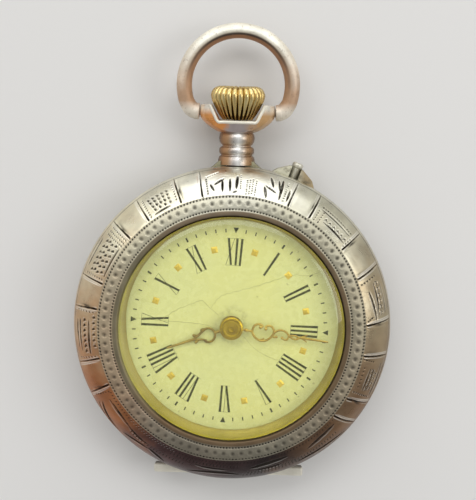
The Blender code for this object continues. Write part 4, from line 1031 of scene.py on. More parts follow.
class FOB_OT_bezel(bpy.types.Operator):
    """Engraved bezel: a punched ring round the glass and an outer band of panels"""

    bl_idname = "fob.bezel"
    bl_label = "Bezel"

    def execute(self, context):
        case = context.scene.fob_case
        degrees = bearings(case.bezel_columns)
        outer = even(through(BEZEL_OUTER, 24), 800)
        split = int(np.argmin(np.abs(outer[:, 0] - RING_EDGE)))
        self.ring(case, degrees, outer[: split + 1])
        self.band(case, degrees, outer[split:])
        knuckle = rods("bezel_knuckle", [pin_span(-1.36, 1.36, BEZEL_HINGE)], BEZEL_KNUCKLE)
        bore = rods("bezel_knuckle_bore", [pin_span(-4.0, 4.0, BEZEL_HINGE)], 0.19)
        boolean(knuckle, bore, "DIFFERENCE")
        bevel(knuckle, 0.05)
        finish(knuckle, silver_finish("hinge_silver", case, 0.8, 0.34), "bezel", tools=[bore])
        return {"FINISHED"}

    def beside_dots(self, degrees, count, radius):
        """How far each column is from its nearest dot in a row round the ring."""
        return (((degrees / 360.0 * count) % 1.0) - 0.5) * math.tau * radius / count

    def ring(self, case, degrees, line):
        """Rolled lip, row of small dots, punched dots on a frosted ground, row of small dots."""
        section = even(line, SECTION_ROWS)
        normals = section_normals(section)
        radius = section[:, 0]
        heights = np.zeros((len(section), len(degrees)))
        # The dark in the dots and grooves below is partly dirt and partly painted shade of their depth
        dirt = np.zeros_like(heights)
        heights += 0.03 * bell(radius, PUNCH_RADIUS, 0.34)[:, None]
        for middle, count in (INNER_ROW, OUTER_ROW):
            size, depth = SMALL_DOT
            groove = bell(radius, middle, 0.1)
            aside = self.beside_dots(degrees, count, middle)
            away = np.hypot(aside[None, :], (radius - middle)[:, None]) / size
            pit = np.clip(1.2 * (1 - away**2), 0.0, 1.0)
            heights -= ROW_GROOVE * groove[:, None] + depth * pit
            dirt = np.maximum(dirt, np.maximum(0.25 * groove[:, None], pit))
        aside = self.beside_dots(degrees, case.punched_dots, PUNCH_RADIUS)
        wide, tall = PUNCH_SIZE
        away = np.hypot(aside[None, :] / wide, ((radius - PUNCH_RADIUS) / tall)[:, None])
        bowl = 0.5 + 0.5 * np.cos(np.pi * np.clip(away / 1.25, 0.0, 1.0))
        heights -= PUNCH_DEPTH * bowl
        dirt = np.maximum(dirt, PUNCH_DIRT_AND_SHADE * bowl)
        top = lathe_points(section, normals, degrees, heights)
        under = [(section[-1, 0], 7.12), (12.6, 7.5), (11.76, 7.55), (11.76, 8.1), (11.2, 8.1)]
        below = plain_rows(under, degrees)
        marks = np.vstack([dirt, np.full(below.shape[:2], UNDERSIDE_DARKENING["ring"])])
        ring = ring_grid("bezel_punched_ring", np.concatenate([top, below]), marks)
        look = silver_finish("punched_silver", case, 1.0, 0.46, 0.7, 1.0, 1.0, ring_toning_and_shade)
        finish(ring, look, "bezel", ["bezel"], 60.0)

    def band(self, case, degrees, line):
        """Panels round the slope, bounded by deep radial cuts."""
        section = even(line, SECTION_ROWS)
        steps = np.linalg.norm(np.diff(section, axis=0), axis=1)
        slope = np.concatenate([[0.0], np.cumsum(steps)])
        sheet = Engraving(degrees, slope, case.cut_depth / MM)
        for work, start, end, lean in PANELS:
            work(sheet, start, end)
            sheet.cut((start - lean, 3.75), (start + lean, 0.1), 0.12, 1.8, blunt=True, edge=1.0)
            # A bright line beside each separator: a faint ridge with a painted highlight
            sheet.cut((start - lean - 0.95, 3.7), (start + lean - 0.95, 0.15), 0.02, 0.0, edge=1.0)
        # A shallow groove near the outer edge, dark from dirt and painted shade, and a painted highlight
        # along the rim
        sheet.cuts = np.maximum(sheet.cuts, 0.3 * bell(slope, 3.5, 0.07)[:, None])
        sheet.burr_and_highlight = np.maximum(sheet.burr_and_highlight, 0.6 * bell(slope, 3.78, 0.14)[:, None])
        top = lathe_points(section, section_normals(section), degrees, sheet.heights())
        under = [(15.4, 4.76), (15.0, 4.76), (15.0, 5.4), (14.1, 6.7), (section[0, 0] + 0.01, 7.1)]
        below = plain_rows(under, degrees)
        marks = np.vstack([sheet.marks(), np.full(below.shape[:2], UNDERSIDE_DARKENING["band"])])
        points = hinge_room(np.concatenate([top, below]), 2.75, -14.9, 5.16, np.maximum)
        band = ring_grid("bezel_engraved_band", points, marks)
        look = silver_finish("engraved_silver", case, 1.0, 0.25, 0.12, 1.0)
        finish(band, look, "bezel", (), 60.0)


# Glass
GLASS_TOP = 9.4
GLASS_UNDER = 8.86


class FOB_OT_crystal(bpy.types.Operator):
    """Domed watch glass"""

    bl_idname = "fob.crystal"
    bl_label = "Crystal"

    def execute(self, context):
        steps = context.scene.fob_case.steps
        top = [(r, GLASS_TOP - 1.18 * (r / 11.16) ** 2) for r in np.linspace(0.0, 10.4, 14)]
        under = [(r, GLASS_UNDER - 1.24 * (r / 11.1) ** 2) for r in np.linspace(11.0, 0.0, 14)]
        edge = [(10.52, 8.345), (11.08, 8.13), (11.16, 8.06), (11.66, 8.06)]
        edge += [(11.7, 8.02), (11.7, 7.64), (11.66, 7.6)]
        profile = [tuple(map(float, spot)) for spot in top + edge + under]
        dome = turned("crystal_dome", profile, steps)
        finish(dome, glass_finish(), "bezel", ["crystal"], 50.0)
        return {"FINISHED"}


# Case band, pendant and pin guard
BAND_PROFILE = (
    (13.3, 5.0), (14.85, 5.0), (14.9, 4.7), (15.45, 4.7), (15.53, 4.55), (15.55, 4.2),
    (15.55, 3.2), (15.53, 2.9), (15.45, 2.72), (15.05, 2.72), (15.0, 2.3), (14.4, 2.3),
    (14.4, 2.72), (12.2, 2.72), (12.2, 4.38), (13.3, 4.38),
)
PENDANT_PROFILE = (
    (2.78, 22.1), (3.6, 22.1), (3.72, 22.02), (3.77, 21.8), (3.78, 21.2), (3.7, 20.82),
    (3.5, 20.5), (3.1, 20.12), (2.6, 19.75), (2.0, 19.42), (1.6, 19.3), (1.74, 19.12),
    (1.8, 18.75), (1.74, 18.4), (1.6, 18.16), (1.44, 18.03), (1.44, 17.92), (1.68, 17.82),
    (1.77, 17.62), (1.77, 17.36), (1.68, 17.18), (1.55, 17.1), (1.57, 17.02), (1.74, 16.9),
    (1.84, 16.6), (1.88, 16.1), (0.95, 16.1), (0.95, 15.68), (0.7, 15.68), (0.7, 13.4),
    (0.46, 13.4), (0.46, 20.42), (2.05, 20.42),
)
CHEEK = 1.9
LEDGE = (2.8, 4.6)
PIN_ANGLE = 21.0
PIN_TURN = Matrix.Rotation(-math.radians(PIN_ANGLE), 4, "Z")
PIN_BORE = 0.64
GUARD_BACK = ((7.8, 15.95), (6.2, 16.4), (2.4, 17.05), (-2.3, 17.1), (-6.6, 16.55), (-8.7, 15.95))


def knuckle_pair(name, right, radius, web, soft, look, body):
    """Two hinge knuckles, left and right, with the webs that carry them."""
    pair = joined(name, [rods(name, both_sides(right), radius), boxes(name, both_sides(web))])
    bevel(pair, soft)
    finish(pair, look, body)


def pin_bore(name, start):
    """A tool for the setting pin's hole, from one radius outwards."""
    px, py = clockwise(PIN_ANGLE, 1.0)
    return rods(name, [((start * px, start * py, STEM_Z), (18.0 * px, 18.0 * py, STEM_Z))], PIN_BORE)


class FOB_OT_case(bpy.types.Operator):
    """Case band with its hinge bar, pendant and the guard of the setting pin"""

    bl_idname = "fob.case"
    bl_label = "Case band and pendant"

    def execute(self, context):
        case = context.scene.fob_case
        self.band(case, silver_finish("case_silver", case, 0.78, 0.26))
        self.pendant(case)
        self.guard(silver_finish("guard_silver", case, 1.0, 0.34, 0.4, toning_and_shade=guard_toning, metal=0.5))
        return {"FINISHED"}

    def band(self, case, look):
        band = turned("case_band_turned", BAND_PROFILE, case.steps)
        tools = [
            boxes("back_knuckle_room", [((-4.65, -17.0, 1.9), (4.65, -14.95, 3.23))]),
            boxes("cuvette_room", [((-1.9, -17.0, 1.8), (1.9, -13.85, 2.95))]),
            boxes("bezel_knuckle_room", [((-1.45, -17.0, 4.28), (1.45, -15.12, 5.2))]),
            rods("stem_hole", [((0.0, 11.0, STEM_Z), (0.0, 17.0, STEM_Z))], 0.75),
            pin_bore("pin_hole", 11.0),
        ]
        for tool in tools:
            boolean(band, tool, "DIFFERENCE")
        finish(band, look, "case", ["case_band"], 30.0, tools)
        bar = boxes("hinge_bar", [((-7.7, -16.0, 3.25), (7.7, -15.08, 3.75))])
        bevel(bar, 0.2, 4)
        pale = silver_finish("hinge_bar_silver", case, 0.04, 0.42, shade=1.16, metal=0.3)
        finish(bar, pale, "case")
        seat = boxes("hinge_seat", [((-5.4, -15.9, 3.3), (5.4, -14.2, 3.7))])
        bevel(seat, 0.1)
        finish(seat, look, "case")
        web = ((4.76, -15.95, 2.7), (7.64, -15.15, 3.3))
        long = pin_span(4.7, 7.6, BACK_HINGE)
        knuckle_pair("back_hinge_knuckles", long, 0.44, web, 0.1, look, "case")
        foot = ((1.55, -15.7, 4.25), (2.6, -14.6, 4.66))
        short = pin_span(1.5, 2.65, BEZEL_HINGE)
        knuckle_pair("bezel_hinge_knuckles", short, BEZEL_KNUCKLE, foot, 0.06, look, "case")

    def pendant(self, case):
        pendant = turned("pendant_turned", PENDANT_PROFILE, 96, ALONG_Y)
        low, high = STEM_Z - 5.0, STEM_Z + 5.0
        fork = [(-1.78, 20.5), (1.78, 20.5), (2.7, 22.3), (-2.7, 22.3)]
        notch = outline_plate("pendant_notch", fork, low, high)
        front = ((-5.0, 19.2, STEM_Z + CHEEK), (5.0, 22.6, high))
        rear = ((-5.0, 19.2, low), (5.0, 22.6, STEM_Z - CHEEK))
        cheeks = boxes("pendant_cheeks", [front, rear])
        holes = rods("bow_holes", [pin_span(-5.0, 5.0, (BOW_PIVOT, STEM_Z))], 0.45)
        for tool in (notch, cheeks, holes):
            boolean(pendant, tool, "DIFFERENCE")
        bevel(pendant, 0.09, 3, 40.0)
        look = silver_finish("pendant_silver", case, 1.0, 0.24, toning_and_shade=pendant_toning_and_sheen, metal=0.65)
        finish(pendant, look, "case", ["pendant"], 32.0, [notch, cheeks, holes])
        # A solder fillet each side of the pendant's foot; its dark olive is partly old solder and partly
        # painted shade where the foot meets the case
        flare = [(1.0, 15.4), (3.1, 15.4), (2.4, 15.85), (1.95, 16.25), (1.75, 16.5), (1.0, 16.5)]
        sides = [outline_plate("side", [(way * x, y) for x, y in flare], *LEDGE) for way in (1, -1)]
        solder = joined("pendant_solder", sides)
        bevel(solder, 0.08)
        dull = metal_finish("old_solder", (0.34, 0.32, 0.21), 0.5, (0.15, 0.13, 0.085))
        finish(solder, dull, "case")
        edge = [(2.76, 22.02), (2.3, 21.12), (1.9, 20.42), (1.2, 20.38)]
        route = through(edge + [(-x, y) for x, y in reversed(edge)], 6)
        rims = []
        for face in (STEM_Z + 1.88, STEM_Z - 1.88):
            rims.append(wire("rim", [(x, y, face, 1.0) for x, y in route], 0.17, 3))
        rim = joined("pendant_notch_rim", rims)
        rubbed = silver_finish("rubbed_silver", case, 0.04, 0.34, shade=1.16, metal=0.3)
        finish(rim, rubbed, "case", (), 60.0)

    def guard(self, look):
        middle = 90.0 - PIN_ANGLE
        back = [(middle + turn, radius) for turn, radius in GUARD_BACK]
        edge = [(middle - 8.8 + 16.7 * k / 12, 15.64) for k in range(13)]
        polar = [(math.radians(turn), radius) for turn, radius in edge + back]
        outline = [(radius * math.cos(angle), radius * math.sin(angle)) for angle, radius in polar]
        guard = outline_plate("pin_guard_shaped", outline, *LEDGE)
        hole = pin_bore("guard_hole", 15.0)
        boolean(guard, hole, "DIFFERENCE")
        slot = boxes("guard_slot", [((-0.5, 15.9, STEM_Z), (0.5, 18.0, 5.2))])
        slot.matrix_world = PIN_TURN
        boolean(guard, slot, "DIFFERENCE")
        bevel(guard, 0.12)
        finish(guard, look, "case", ["pin_guard"], 32.0, [hole, slot])


# Bow, crown and setting pin
class FOB_OT_bow(bpy.types.Operator):
    """Wire bow that swings in the pendant's lugs"""

    bl_idname = "fob.bow"
    bl_label = "Bow"

    def execute(self, context):
        right = [(3.86, BOW_PIVOT, 0.98), (4.2, 21.37, 1.03), (4.72, 21.66, 1.04)]
        turn = np.radians(np.linspace(-18.0, 198.0, 61))
        arc = [(BOW_RADIUS * math.cos(a), BOW_MIDDLE + BOW_RADIUS * math.sin(a), 1.0) for a in turn]
        line = right + arc + [(-x, y, r) for x, y, r in reversed(right)]
        bow = wire("bow_wire", [(x, y, STEM_Z, r) for x, y, r in through(line, 3)], 0.78, 8)
        lugs = (BOW_PIVOT, STEM_Z)
        pips = [pin_span(2.95, 4.3, lugs), pin_span(-4.3, -2.95, lugs)]
        whole = joined("bow_fused", [bow, rods("bow_pips", pips, 0.38)])
        fused(whole, 0.07, 3)
        rise = (BOW_PIVOT + 0.03, STEM_Z)
        ends = [((3.85, *lugs), (4.4, *rise)), ((-4.4, *rise), (-3.85, *lugs))]
        collars = rods("bow_collars", ends, 0.82)
        bevel(collars, 0.05)
        whole = joined("bow_stirrup", [whole, collars])
        case = context.scene.fob_case
        look = silver_finish("bow_silver", case, 1.0, 0.4, 0.5, shade=1.1, toning_and_shade=bow_toning, metal=0.4)
        finish(whole, look, "bow", ["bow"], 60.0)
        return {"FINISHED"}


CROWN_SWELL = (
    ((20.64, 1.5), (21.2, 1.92), (22.0, 2.36), (22.7, 2.68))
    + ((23.15, 2.72), (23.5, 2.52), (23.72, 2.12), (23.78, 1.6))
)


def ring_tree():
    """Geometry nodes that set copies of one mark round an axis, each turned to face outwards."""
    inputs = [("Mark", "NodeSocketObject", None), ("Count", "NodeSocketInt", 12)]
    inputs += [("Start", "NodeSocketFloat", 0.0), ("Material", "NodeSocketMaterial", None)]
    outputs = [("Geometry", "NodeSocketGeometry")]
    tree, given, out = group("marks_round_axis", inputs, outputs, "GeometryNodeTree")
    mark = add(tree, "GeometryNodeObjectInfo", {"Object": given.outputs["Mark"], "As Instance": True})
    spots = add(tree, "GeometryNodePoints", {"Count": given.outputs["Count"]})
    place = add(tree, "GeometryNodeInputIndex").outputs[0]
    pitch = math_node(tree, "DIVIDE", math.tau, given.outputs["Count"])
    angle = math_node(tree, "ADD", math_node(tree, "MULTIPLY", place, pitch), given.outputs["Start"])
    turn = add(tree, "ShaderNodeCombineXYZ", {"Z": angle})
    placed = {"Points": spots.outputs[0], "Instance": mark.outputs["Geometry"], "Rotation": turn.outputs[0]}
    copies = add(tree, "GeometryNodeInstanceOnPoints", placed)
    real = add(tree, "GeometryNodeRealizeInstances", {0: copies.outputs[0]})
    paint = {"Geometry": real.outputs[0], "Material": given.outputs["Material"]}
    painted = add(tree, "GeometryNodeSetMaterial", paint)
    tree.links.new(painted.outputs[0], out.inputs[0])
    return tree


def marks_round(name, mark, count, start, look):
    """An object with copies of a mark round the Z axis; the mark itself is removed."""
    tree = bpy.data.node_groups.get("marks_round_axis") or ring_tree()
    holder = link(bpy.data.objects.new(name, bpy.data.meshes.new(name)))
    step = holder.modifiers.new("Marks", "NODES")
    step.node_group = tree
    values = {"Mark": mark, "Count": count, "Start": start, "Material": look}
    for socket in tree.interface.items_tree:
        if socket.in_out == "INPUT":
            step[socket.identifier] = values[socket.name]
    mesh = shape_of(holder)
    bpy.data.objects.remove(mark, do_unlink=True)
    return link(bpy.data.objects.new(name, mesh))


class FOB_OT_crown(bpy.types.Operator):
    """Fluted onion crown: a core with rounded ribs"""

    bl_idname = "fob.crown"
    bl_label = "Crown"

    def execute(self, context):
        case = context.scene.fob_case
        swell = even(through(CROWN_SWELL, 10), 40)
        share = math.pi / case.crown_ribs
        gilt = metal_finish("crown_gilt", case.gilt, 0.18, (0.60, 0.42, 0.14), 6.0, 0.3, crown_shade)
        line = []
        for level, radius in swell:
            half = radius * share * (0.5 + 0.43 * min(max((level - 20.9) / 1.7, 0.0), 1.0))
            line.append((radius - half, 0.0, level, half))
        rib = wire("crown_rib", line, 1.0, 3)
        ribs = marks_round("crown_ribs", rib, case.crown_ribs, 0.0, gilt)
        ribs.matrix_world = ALONG_Y
        finish(ribs, gilt, "crown", ["crown"], 60.0)
        core = [(0.0, 23.74), (0.9, 23.72), (1.5, 23.68)]
        core += [(radius * (1 - 1.9 * share), level) for level, radius in reversed(swell[:-3])]
        core += [(1.2, 20.62), (0.45, 20.62), (0.45, 22.6), (0.0, 22.6)]
        # Painted shade: the core between the ribs is nearly black
        dark = metal_finish("crown_recess", (0.08, 0.048, 0.018), 0.45, (0.025, 0.016, 0.008))
        whole = turned("crown_core", [(float(r), float(y)) for r, y in core], 104, ALONG_Y)
        finish(whole, dark, "crown")
        return {"FINISHED"}


class FOB_OT_setting_pin(bpy.types.Operator):
    """Pin that is pressed to set the hands"""

    bl_idname = "fob.setting_pin"
    bl_label = "Setting pin"

    def execute(self, context):
        profile = [(0.0, 17.6), (0.34, 17.59), (0.5, 17.53), (0.56, 17.42), (0.56, 17.2), (0.5, 17.1)]
        profile += [(0.38, 17.04), (0.38, 15.98), (0.35, 15.9), (0.35, 11.68), (0.31, 11.64), (0.0, 11.64)]
        pin = turned("setting_pin_turned", profile, 48, PIN_TURN @ ALONG_Y)
        look = silver_finish("pin_silver", context.scene.fob_case, 0.5, 0.3, metal=0.5)
        finish(pin, look, "setting_pin", ["setting_pin"], 32.0)
        return {"FINISHED"}


# Covers
BACK_COLUMNS = 1080
ENGINE_RAYS = 108
ROPE_STRANDS = 180
ROPE_RADIUS = 13.0


class FOB_OT_covers(bpy.types.Operator):
    """Engine-turned back cover and the plain inner cover"""

    bl_idname = "fob.covers"
    bl_label = "Back and inner cover"

    def execute(self, context):
        case = context.scene.fob_case
        self.back(case)
        self.inner(case)
        return {"FINISHED"}

    def back(self, case):
        degrees = bearings(BACK_COLUMNS)
        outer = even(through([(15.9, 2.64), (15.85, 2.1), (15.2, 1.2), (13.0, 0.4), (9.6, 0.0)], 16), 40)
        flat = np.stack([np.linspace(9.45, 0.25, 44), np.zeros(44)], 1)
        section = np.vstack([outer, flat])
        radius = section[:, 0]
        angle = np.radians(degrees)
        rays = np.cos(ENGINE_RAYS * angle[None, :] + 1.9 * np.sin(radius * 2.6)[:, None])
        ground = np.clip((radius - 4.3) / 0.25, 0, 1) * np.clip((12.4 - radius) / 0.25, 0, 1)
        heights = -0.022 * (0.5 + 0.5 * rays) * ground[:, None]
        lay = (radius - ROPE_RADIUS)[:, None]
        rope = 0.5 + 0.5 * np.cos(ROPE_STRANDS * angle[None, :] + 9.0 * lay)
        heights -= 0.035 * rope * bell(radius, ROPE_RADIUS, 0.3)[:, None]
        for middle in (4.15, 12.5, 13.5):
            heights -= 0.04 * bell(radius, middle, 0.13)[:, None]
        recess = np.clip(-heights / 0.05, 0.0, 1.0)
        outside = lathe_points(section, section_normals(section), degrees, heights)
        inside = [(0.25, 0.42), (9.5, 0.42), (13.2, 0.98), (15.1, 2.05), (15.14, 2.64)]
        points = np.concatenate([outside, plain_rows(inside, degrees)])
        points = hinge_room(points, 7.85, -14.95, 1.75, np.minimum)
        marks = np.vstack([recess, np.zeros((len(inside), BACK_COLUMNS))])
        back = ring_grid("back_cover_turned", points, marks)
        look = silver_finish("back_silver", case, 0.45, 0.22, 0.0, 0.7)
        finish(back, look, "back_cover", ["back_cover"], 50.0)
        plug = turned("back_cover_middle", [(0.0, 0.42), (0.27, 0.42), (0.27, 0.0), (0.0, 0.0)], 24)
        finish(plug, look, "back_cover")
        ear = ((2.0, -15.75, 1.3), (4.4, -15.0, 2.66))
        barrel = pin_span(1.95, 4.58, COVER_HINGE)
        knuckle_pair("back_cover_knuckles", barrel, COVER_KNUCKLE, ear, 0.08, look, "back_cover")

    def inner(self, case):
        inside = [(0.0, 0.95), (10.6, 0.97), (12.0, 1.2), (12.8, 1.4), (13.6, 1.8), (13.98, 2.1)]
        rim = [(13.98, 2.62), (14.3, 2.62), (14.3, 2.15)]
        outside = [(13.9, 1.62), (12.8, 1.12), (11.8, 0.86), (10.6, 0.7), (0.0, 0.68)]
        cover = turned("cuvette_turned", inside + rim + outside, case.steps)
        look = silver_finish("cuvette_silver", case, 0.5, 0.3)
        finish(cover, look, "cuvette", ["cuvette"], 30.0)
        arm = boxes("cuvette_arm", [((-1.55, -15.45, 2.24), (1.55, -14.08, 2.55))])
        knuckle = rods("cuvette_knuckle", [pin_span(-1.75, 1.75, COVER_HINGE)], COVER_KNUCKLE)
        hinge = joined("cuvette_hinge", [arm, knuckle])
        bevel(hinge, 0.06)
        finish(hinge, look, "cuvette")


# Dial
DIAL_TOP = 6.27
INK_FOOT = DIAL_TOP - 0.01
INK_TOP = 6.284
THIN_TOP = INK_TOP - 0.004
SERIF_TOP = INK_TOP - 0.006
SERIF_INSET = 0.08
PRINT_SHIFT = (-0.22, 0.08)
NUMERALS = ("XII", "I", "II", "III", "IIII", "V", "VI", "VII", "VIII", "IX", "X", "XI")
THICK, THIN, SERIF = 0.108, 0.022, 0.012
LETTERS = {
    "I": (0.46, ((0.0, 0.0, THICK),)),
    "V": (0.68, ((0.1, -0.3, THICK), (0.14, 0.2, THIN))),
    "X": (0.84, ((0.16, -0.16, THICK), (-0.4, 0.4, THIN))),
}
SQUARE_DEPTH = 0.06
SQUARE_TOP = 0.42
NUMERAL_MIDDLE = 7.5
NUMERAL_SPREAD = 0.4
CRACKS = (
    ((-9.9, 0.65), (-7.4, 0.42), (-4.6, 0.3), (-2.6, 0.1), (-1.2, -0.4)),
    ((-7.0, 0.55), (-5.6, 1.5), (-3.7, 2.35), (-3.0, 2.55), (-2.3, 1.9), (-1.3, 1.1)),
    ((-2.1, 1.9), (-1.2, 3.0), (0.1, 3.5), (2.2, 4.1), (4.4, 4.9), (6.0, 5.4), (7.4, 5.35), (8.5, 5.7)),
    ((1.2, -0.9), (2.4, -2.2), (4.1, -3.1), (5.6, -3.4)),
)


def numeral_turn(aside, radius):
    """The angle of a point beside a numeral's middle line; the strokes spread a little towards the head."""
    return aside * (1 + NUMERAL_SPREAD * (radius / NUMERAL_MIDDLE - 1)) / radius


def print_matrix(turned_by):
    return Matrix.Translation((*PRINT_SHIFT, 0.0)) @ Matrix.Rotation(-turned_by, 4, "Z")


class FOB_OT_dial(bpy.types.Operator):
    """Enamel dial, its printing, its gold squares and the gilt ring round it"""

    bl_idname = "fob.dial"
    bl_label = "Dial"

    def execute(self, context):
        dial = context.scene.fob_dial
        case = context.scene.fob_case
        profile = [(1.05, 6.25), (1.07, DIAL_TOP), (11.2, DIAL_TOP), (11.5, 6.22)]
        profile += [(11.6, 6.1), (11.6, 5.8), (1.05, 5.8)]
        plate = turned("dial_enamel", profile, case.steps)
        finish(plate, enamel_finish(dial), "case", ["dial"], 30.0)
        outside = [(11.3, 7.35), (11.62, 7.35), (11.66, 7.31), (11.88, 7.0), (11.88, 6.32), (10.5, 6.32)]
        slope = [(10.5, 6.38), (10.56, 6.44), (10.72, 6.56), (11.0, 6.88), (11.2, 7.2)]
        ring = turned("dial_ring_turned", outside + slope, case.steps)
        gold = metal_finish("ring_gilt", (0.58, 0.48, 0.09), 0.36, (0.46, 0.38, 0.06), 8.0, 0.3, ring_shade)
        finish(ring, gold, "case", ["dial_ring"], 30.0)
        ink = ink_finish("numeral_ink", dial.ink, (0.11, 0.112, 0.016))
        place = print_matrix(dial.turned)
        self.numerals(dial, ink, place)
        self.track(dial, ink, place)
        self.squares(dial, place)
        self.cracks()
        return {"FINISHED"}

    def numerals(self, dial, ink, place):
        bm = bmesh.new()
        foot, head = dial.numeral_foot / MM, dial.numeral_head / MM
        for hour, text in enumerate(NUMERALS):
            width = sum(LETTERS[letter][0] for letter in text)
            at = -width / 2
            for letter in text:
                advance, strokes = LETTERS[letter]
                for low, high, half in strokes:
                    self.stroke(bm, hour, at + advance / 2, low, high, half, foot, head)
                at += advance
            for radius in (foot, head):
                self.serif(bm, hour, SERIF_INSET - width / 2, width / 2 - SERIF_INSET, radius)
        bmesh.ops.recalc_face_normals(bm, faces=bm.faces)
        numerals = bmesh_object("dial_numerals", bm)
        numerals.matrix_world = place
        finish(numerals, ink, "case")

    def slab(self, bm, corners, top):
        """A thin raised slab from corners given as angle and radius."""
        prism(bm, [(r * math.sin(a), r * math.cos(a)) for a, r in corners], INK_FOOT, top)

    def stroke(self, bm, hour, middle, low, high, half, foot, head):
        turn = math.radians(30.0 * hour)
        ends = ((foot, middle + low), (head, middle + high))
        corners = [(turn + numeral_turn(x + side * half, r), r) for r, x in ends for side in (-1, 1)]
        order = [corners[0], corners[1], corners[3], corners[2]]
        self.slab(bm, order, THIN_TOP if half == THIN else INK_TOP)

    def serif(self, bm, hour, left, right, radius):
        turn = math.radians(30.0 * hour)
        near, far = turn + numeral_turn(left, radius), turn + numeral_turn(right, radius)
        low, high = radius - SERIF, radius + SERIF
        self.slab(bm, [(near, low), (far, low), (far, high), (near, high)], SERIF_TOP)

    def track(self, dial, ink, place):
        """A wedge at each quarter, and between the wedges a dash for each minute, larger at the hours."""
        radius = dial.track_radius / MM
        corners = [(-0.27, radius + 0.3), (0.27, radius + 0.3), (0.0, radius - 0.26)]
        wedge = outline_plate("quarter_mark", corners, INK_FOOT, INK_TOP)
        marks = [marks_round("quarter_marks", wedge, 4, 0.0, ink)]
        for minute in range(1, 15):
            half, reach = (0.09, 0.22) if minute % 5 == 0 else (0.055, 0.18)
            low, high = (-half, radius - reach, INK_FOOT), (half, radius + reach, INK_TOP)
            dash = boxes("track_dash", [(low, high)])
            marks.append(marks_round("track_dashes", dash, 4, math.radians(6.0 * minute), ink))
        track = joined("dial_minute_track", marks)
        track.matrix_world = place
        finish(track, ink, "case")

    def squares(self, dial, place):
        """Pads of gold leaf between the hours, each with its top drawn in."""
        radius, side = dial.square_radius / MM, dial.square_size / MM
        bm = bmesh.new()
        place_out = Matrix.Translation((0.0, radius, DIAL_TOP + 0.02))
        size = Matrix.Diagonal((side, side, SQUARE_DEPTH, 1.0))
        bmesh.ops.create_cube(bm, size=1.0, matrix=place_out @ size)
        top = [v for v in bm.verts if v.co.z > DIAL_TOP]
        about = Matrix.Translation((0.0, -radius, 0.0))
        bmesh.ops.scale(bm, vec=(SQUARE_TOP, SQUARE_TOP, 1.0), space=about, verts=top)
        pad = bmesh_object("gold_square", bm)
        leaf = metal_finish("gold_leaf", (0.76, 0.56, 0.09), 0.34, (0.52, 0.37, 0.05), 9.0, 0.2)
        squares = marks_round("dial_gold_squares", pad, 12, math.pi / 12, leaf)
        squares.matrix_world = place
        finish(squares, leaf, "case", degrees=15.0)

    def cracks(self):
        """Hairline cracks in the enamel."""
        lines = []
        for number, spots in enumerate(CRACKS):
            line = through(spots, 8)
            wave = 0.03 * np.sin(np.arange(len(line)) * 1.7 + number)
            points = [(x + w, y - w, DIAL_TOP - 0.003, 1.0) for (x, y), w in zip(line, wave)]
            lines.append(wire("crack", points, 0.024, 1))
        cracks = joined("dial_hairlines", lines)
        look = ink_finish("hairline", (0.48, 0.46, 0.17), (0.62, 0.60, 0.24))
        finish(cracks, look, "case")


# Hands
MINUTE_HAND_AT = 96.8
HOUR_HAND_AT = 250.4
MINUTE_HAND_MIDDLE = 7.045
HOUR_HAND_MIDDLE = 6.665
MINUTE_SCROLLS = (
    (0.1, ((0.9, 0.0), (1.5, 0.0), (2.1, -0.04))),
    (0.1, ((2.1, -0.04), (2.11, 0.22), (2.24, 0.58), (2.6, 0.78), (2.93, 0.74), (3.02, 0.6), (2.88, 0.52))),
    (
        0.1,
        ((2.1, -0.04), (2.2, -0.3), (2.5, -0.62), (2.94, -0.82))
        + ((3.3, -0.82), (3.62, -0.7), (3.97, -0.42), (4.19, -0.03)),
    ),
    (0.1, ((4.19, -0.03), (4.22, 0.36), (3.97, 0.7), (3.6, 0.76), (3.36, 0.6), (3.4, 0.43))),
    (0.096, ((3.97, -0.42), (4.2, -0.02), (4.44, 0.3), (4.9, 0.5), (5.42, 0.38), (5.76, 0.06))),
    (0.09, ((5.76, 0.06), (5.68, -0.28), (5.42, -0.4), (5.16, -0.26))),
    (0.085, ((4.1, -0.14), (4.3, -0.3), (4.55, -0.24))),
    (0.09, ((5.76, 0.06), (6.05, -0.12), (6.45, -0.21), (6.76, -0.05), (6.98, 0.06))),
    (0.085, ((5.76, 0.06), (6.1, 0.12), (6.4, 0.14), (6.7, 0.04))),
    (0.075, ((6.96, 0.06), (7.3, 0.26), (7.62, 0.42))),
    (0.075, ((6.96, 0.06), (7.3, -0.14), (7.62, -0.3))),
    (0.125, ((6.9, 0.05), (8.3, 0.02), (9.72, 0.0))),
)
MINUTE_BALLS = (
    ((1.48, 0.0, 0.2), (2.86, 0.5, 0.17), (3.4, 0.41, 0.17))
    + ((4.55, -0.23, 0.15), (5.12, -0.25, 0.15))
)
MINUTE_LEAVES = (((3.16, -0.96), (3.36, -0.46), 0.15), ((3.02, -0.62), (3.26, -0.84), 0.09))
HOUR_SCROLLS = (
    (0.13, ((1.0, 0.0), (1.4, 0.0), (1.76, 0.0))),
    (
        0.1,
        ((1.76, 0.0), (1.82, -0.26), (2.0, -0.5), (2.28, -0.64))
        + ((2.58, -0.62), (3.0, -0.45), (3.52, -0.2), (4.04, 0.0)),
    ),
    (0.096, ((2.56, -0.62), (2.76, -0.7), (2.92, -0.64))),
    (0.1, ((1.76, 0.0), (1.82, 0.26), (1.96, 0.5), (2.26, 0.7), (2.62, 0.72), (2.86, 0.6), (2.88, 0.5))),
    (0.09, ((2.86, 0.5), (3.15, 0.28), (3.45, 0.2), (3.72, 0.14), (4.04, 0.0))),
    (0.085, ((3.55, 0.18), (3.72, 0.32), (3.88, 0.34))),
    (0.085, ((3.5, -0.2), (3.68, -0.34), (3.86, -0.37))),
    (0.13, ((3.95, 0.0), (5.4, 0.0), (6.82, 0.0))),
)
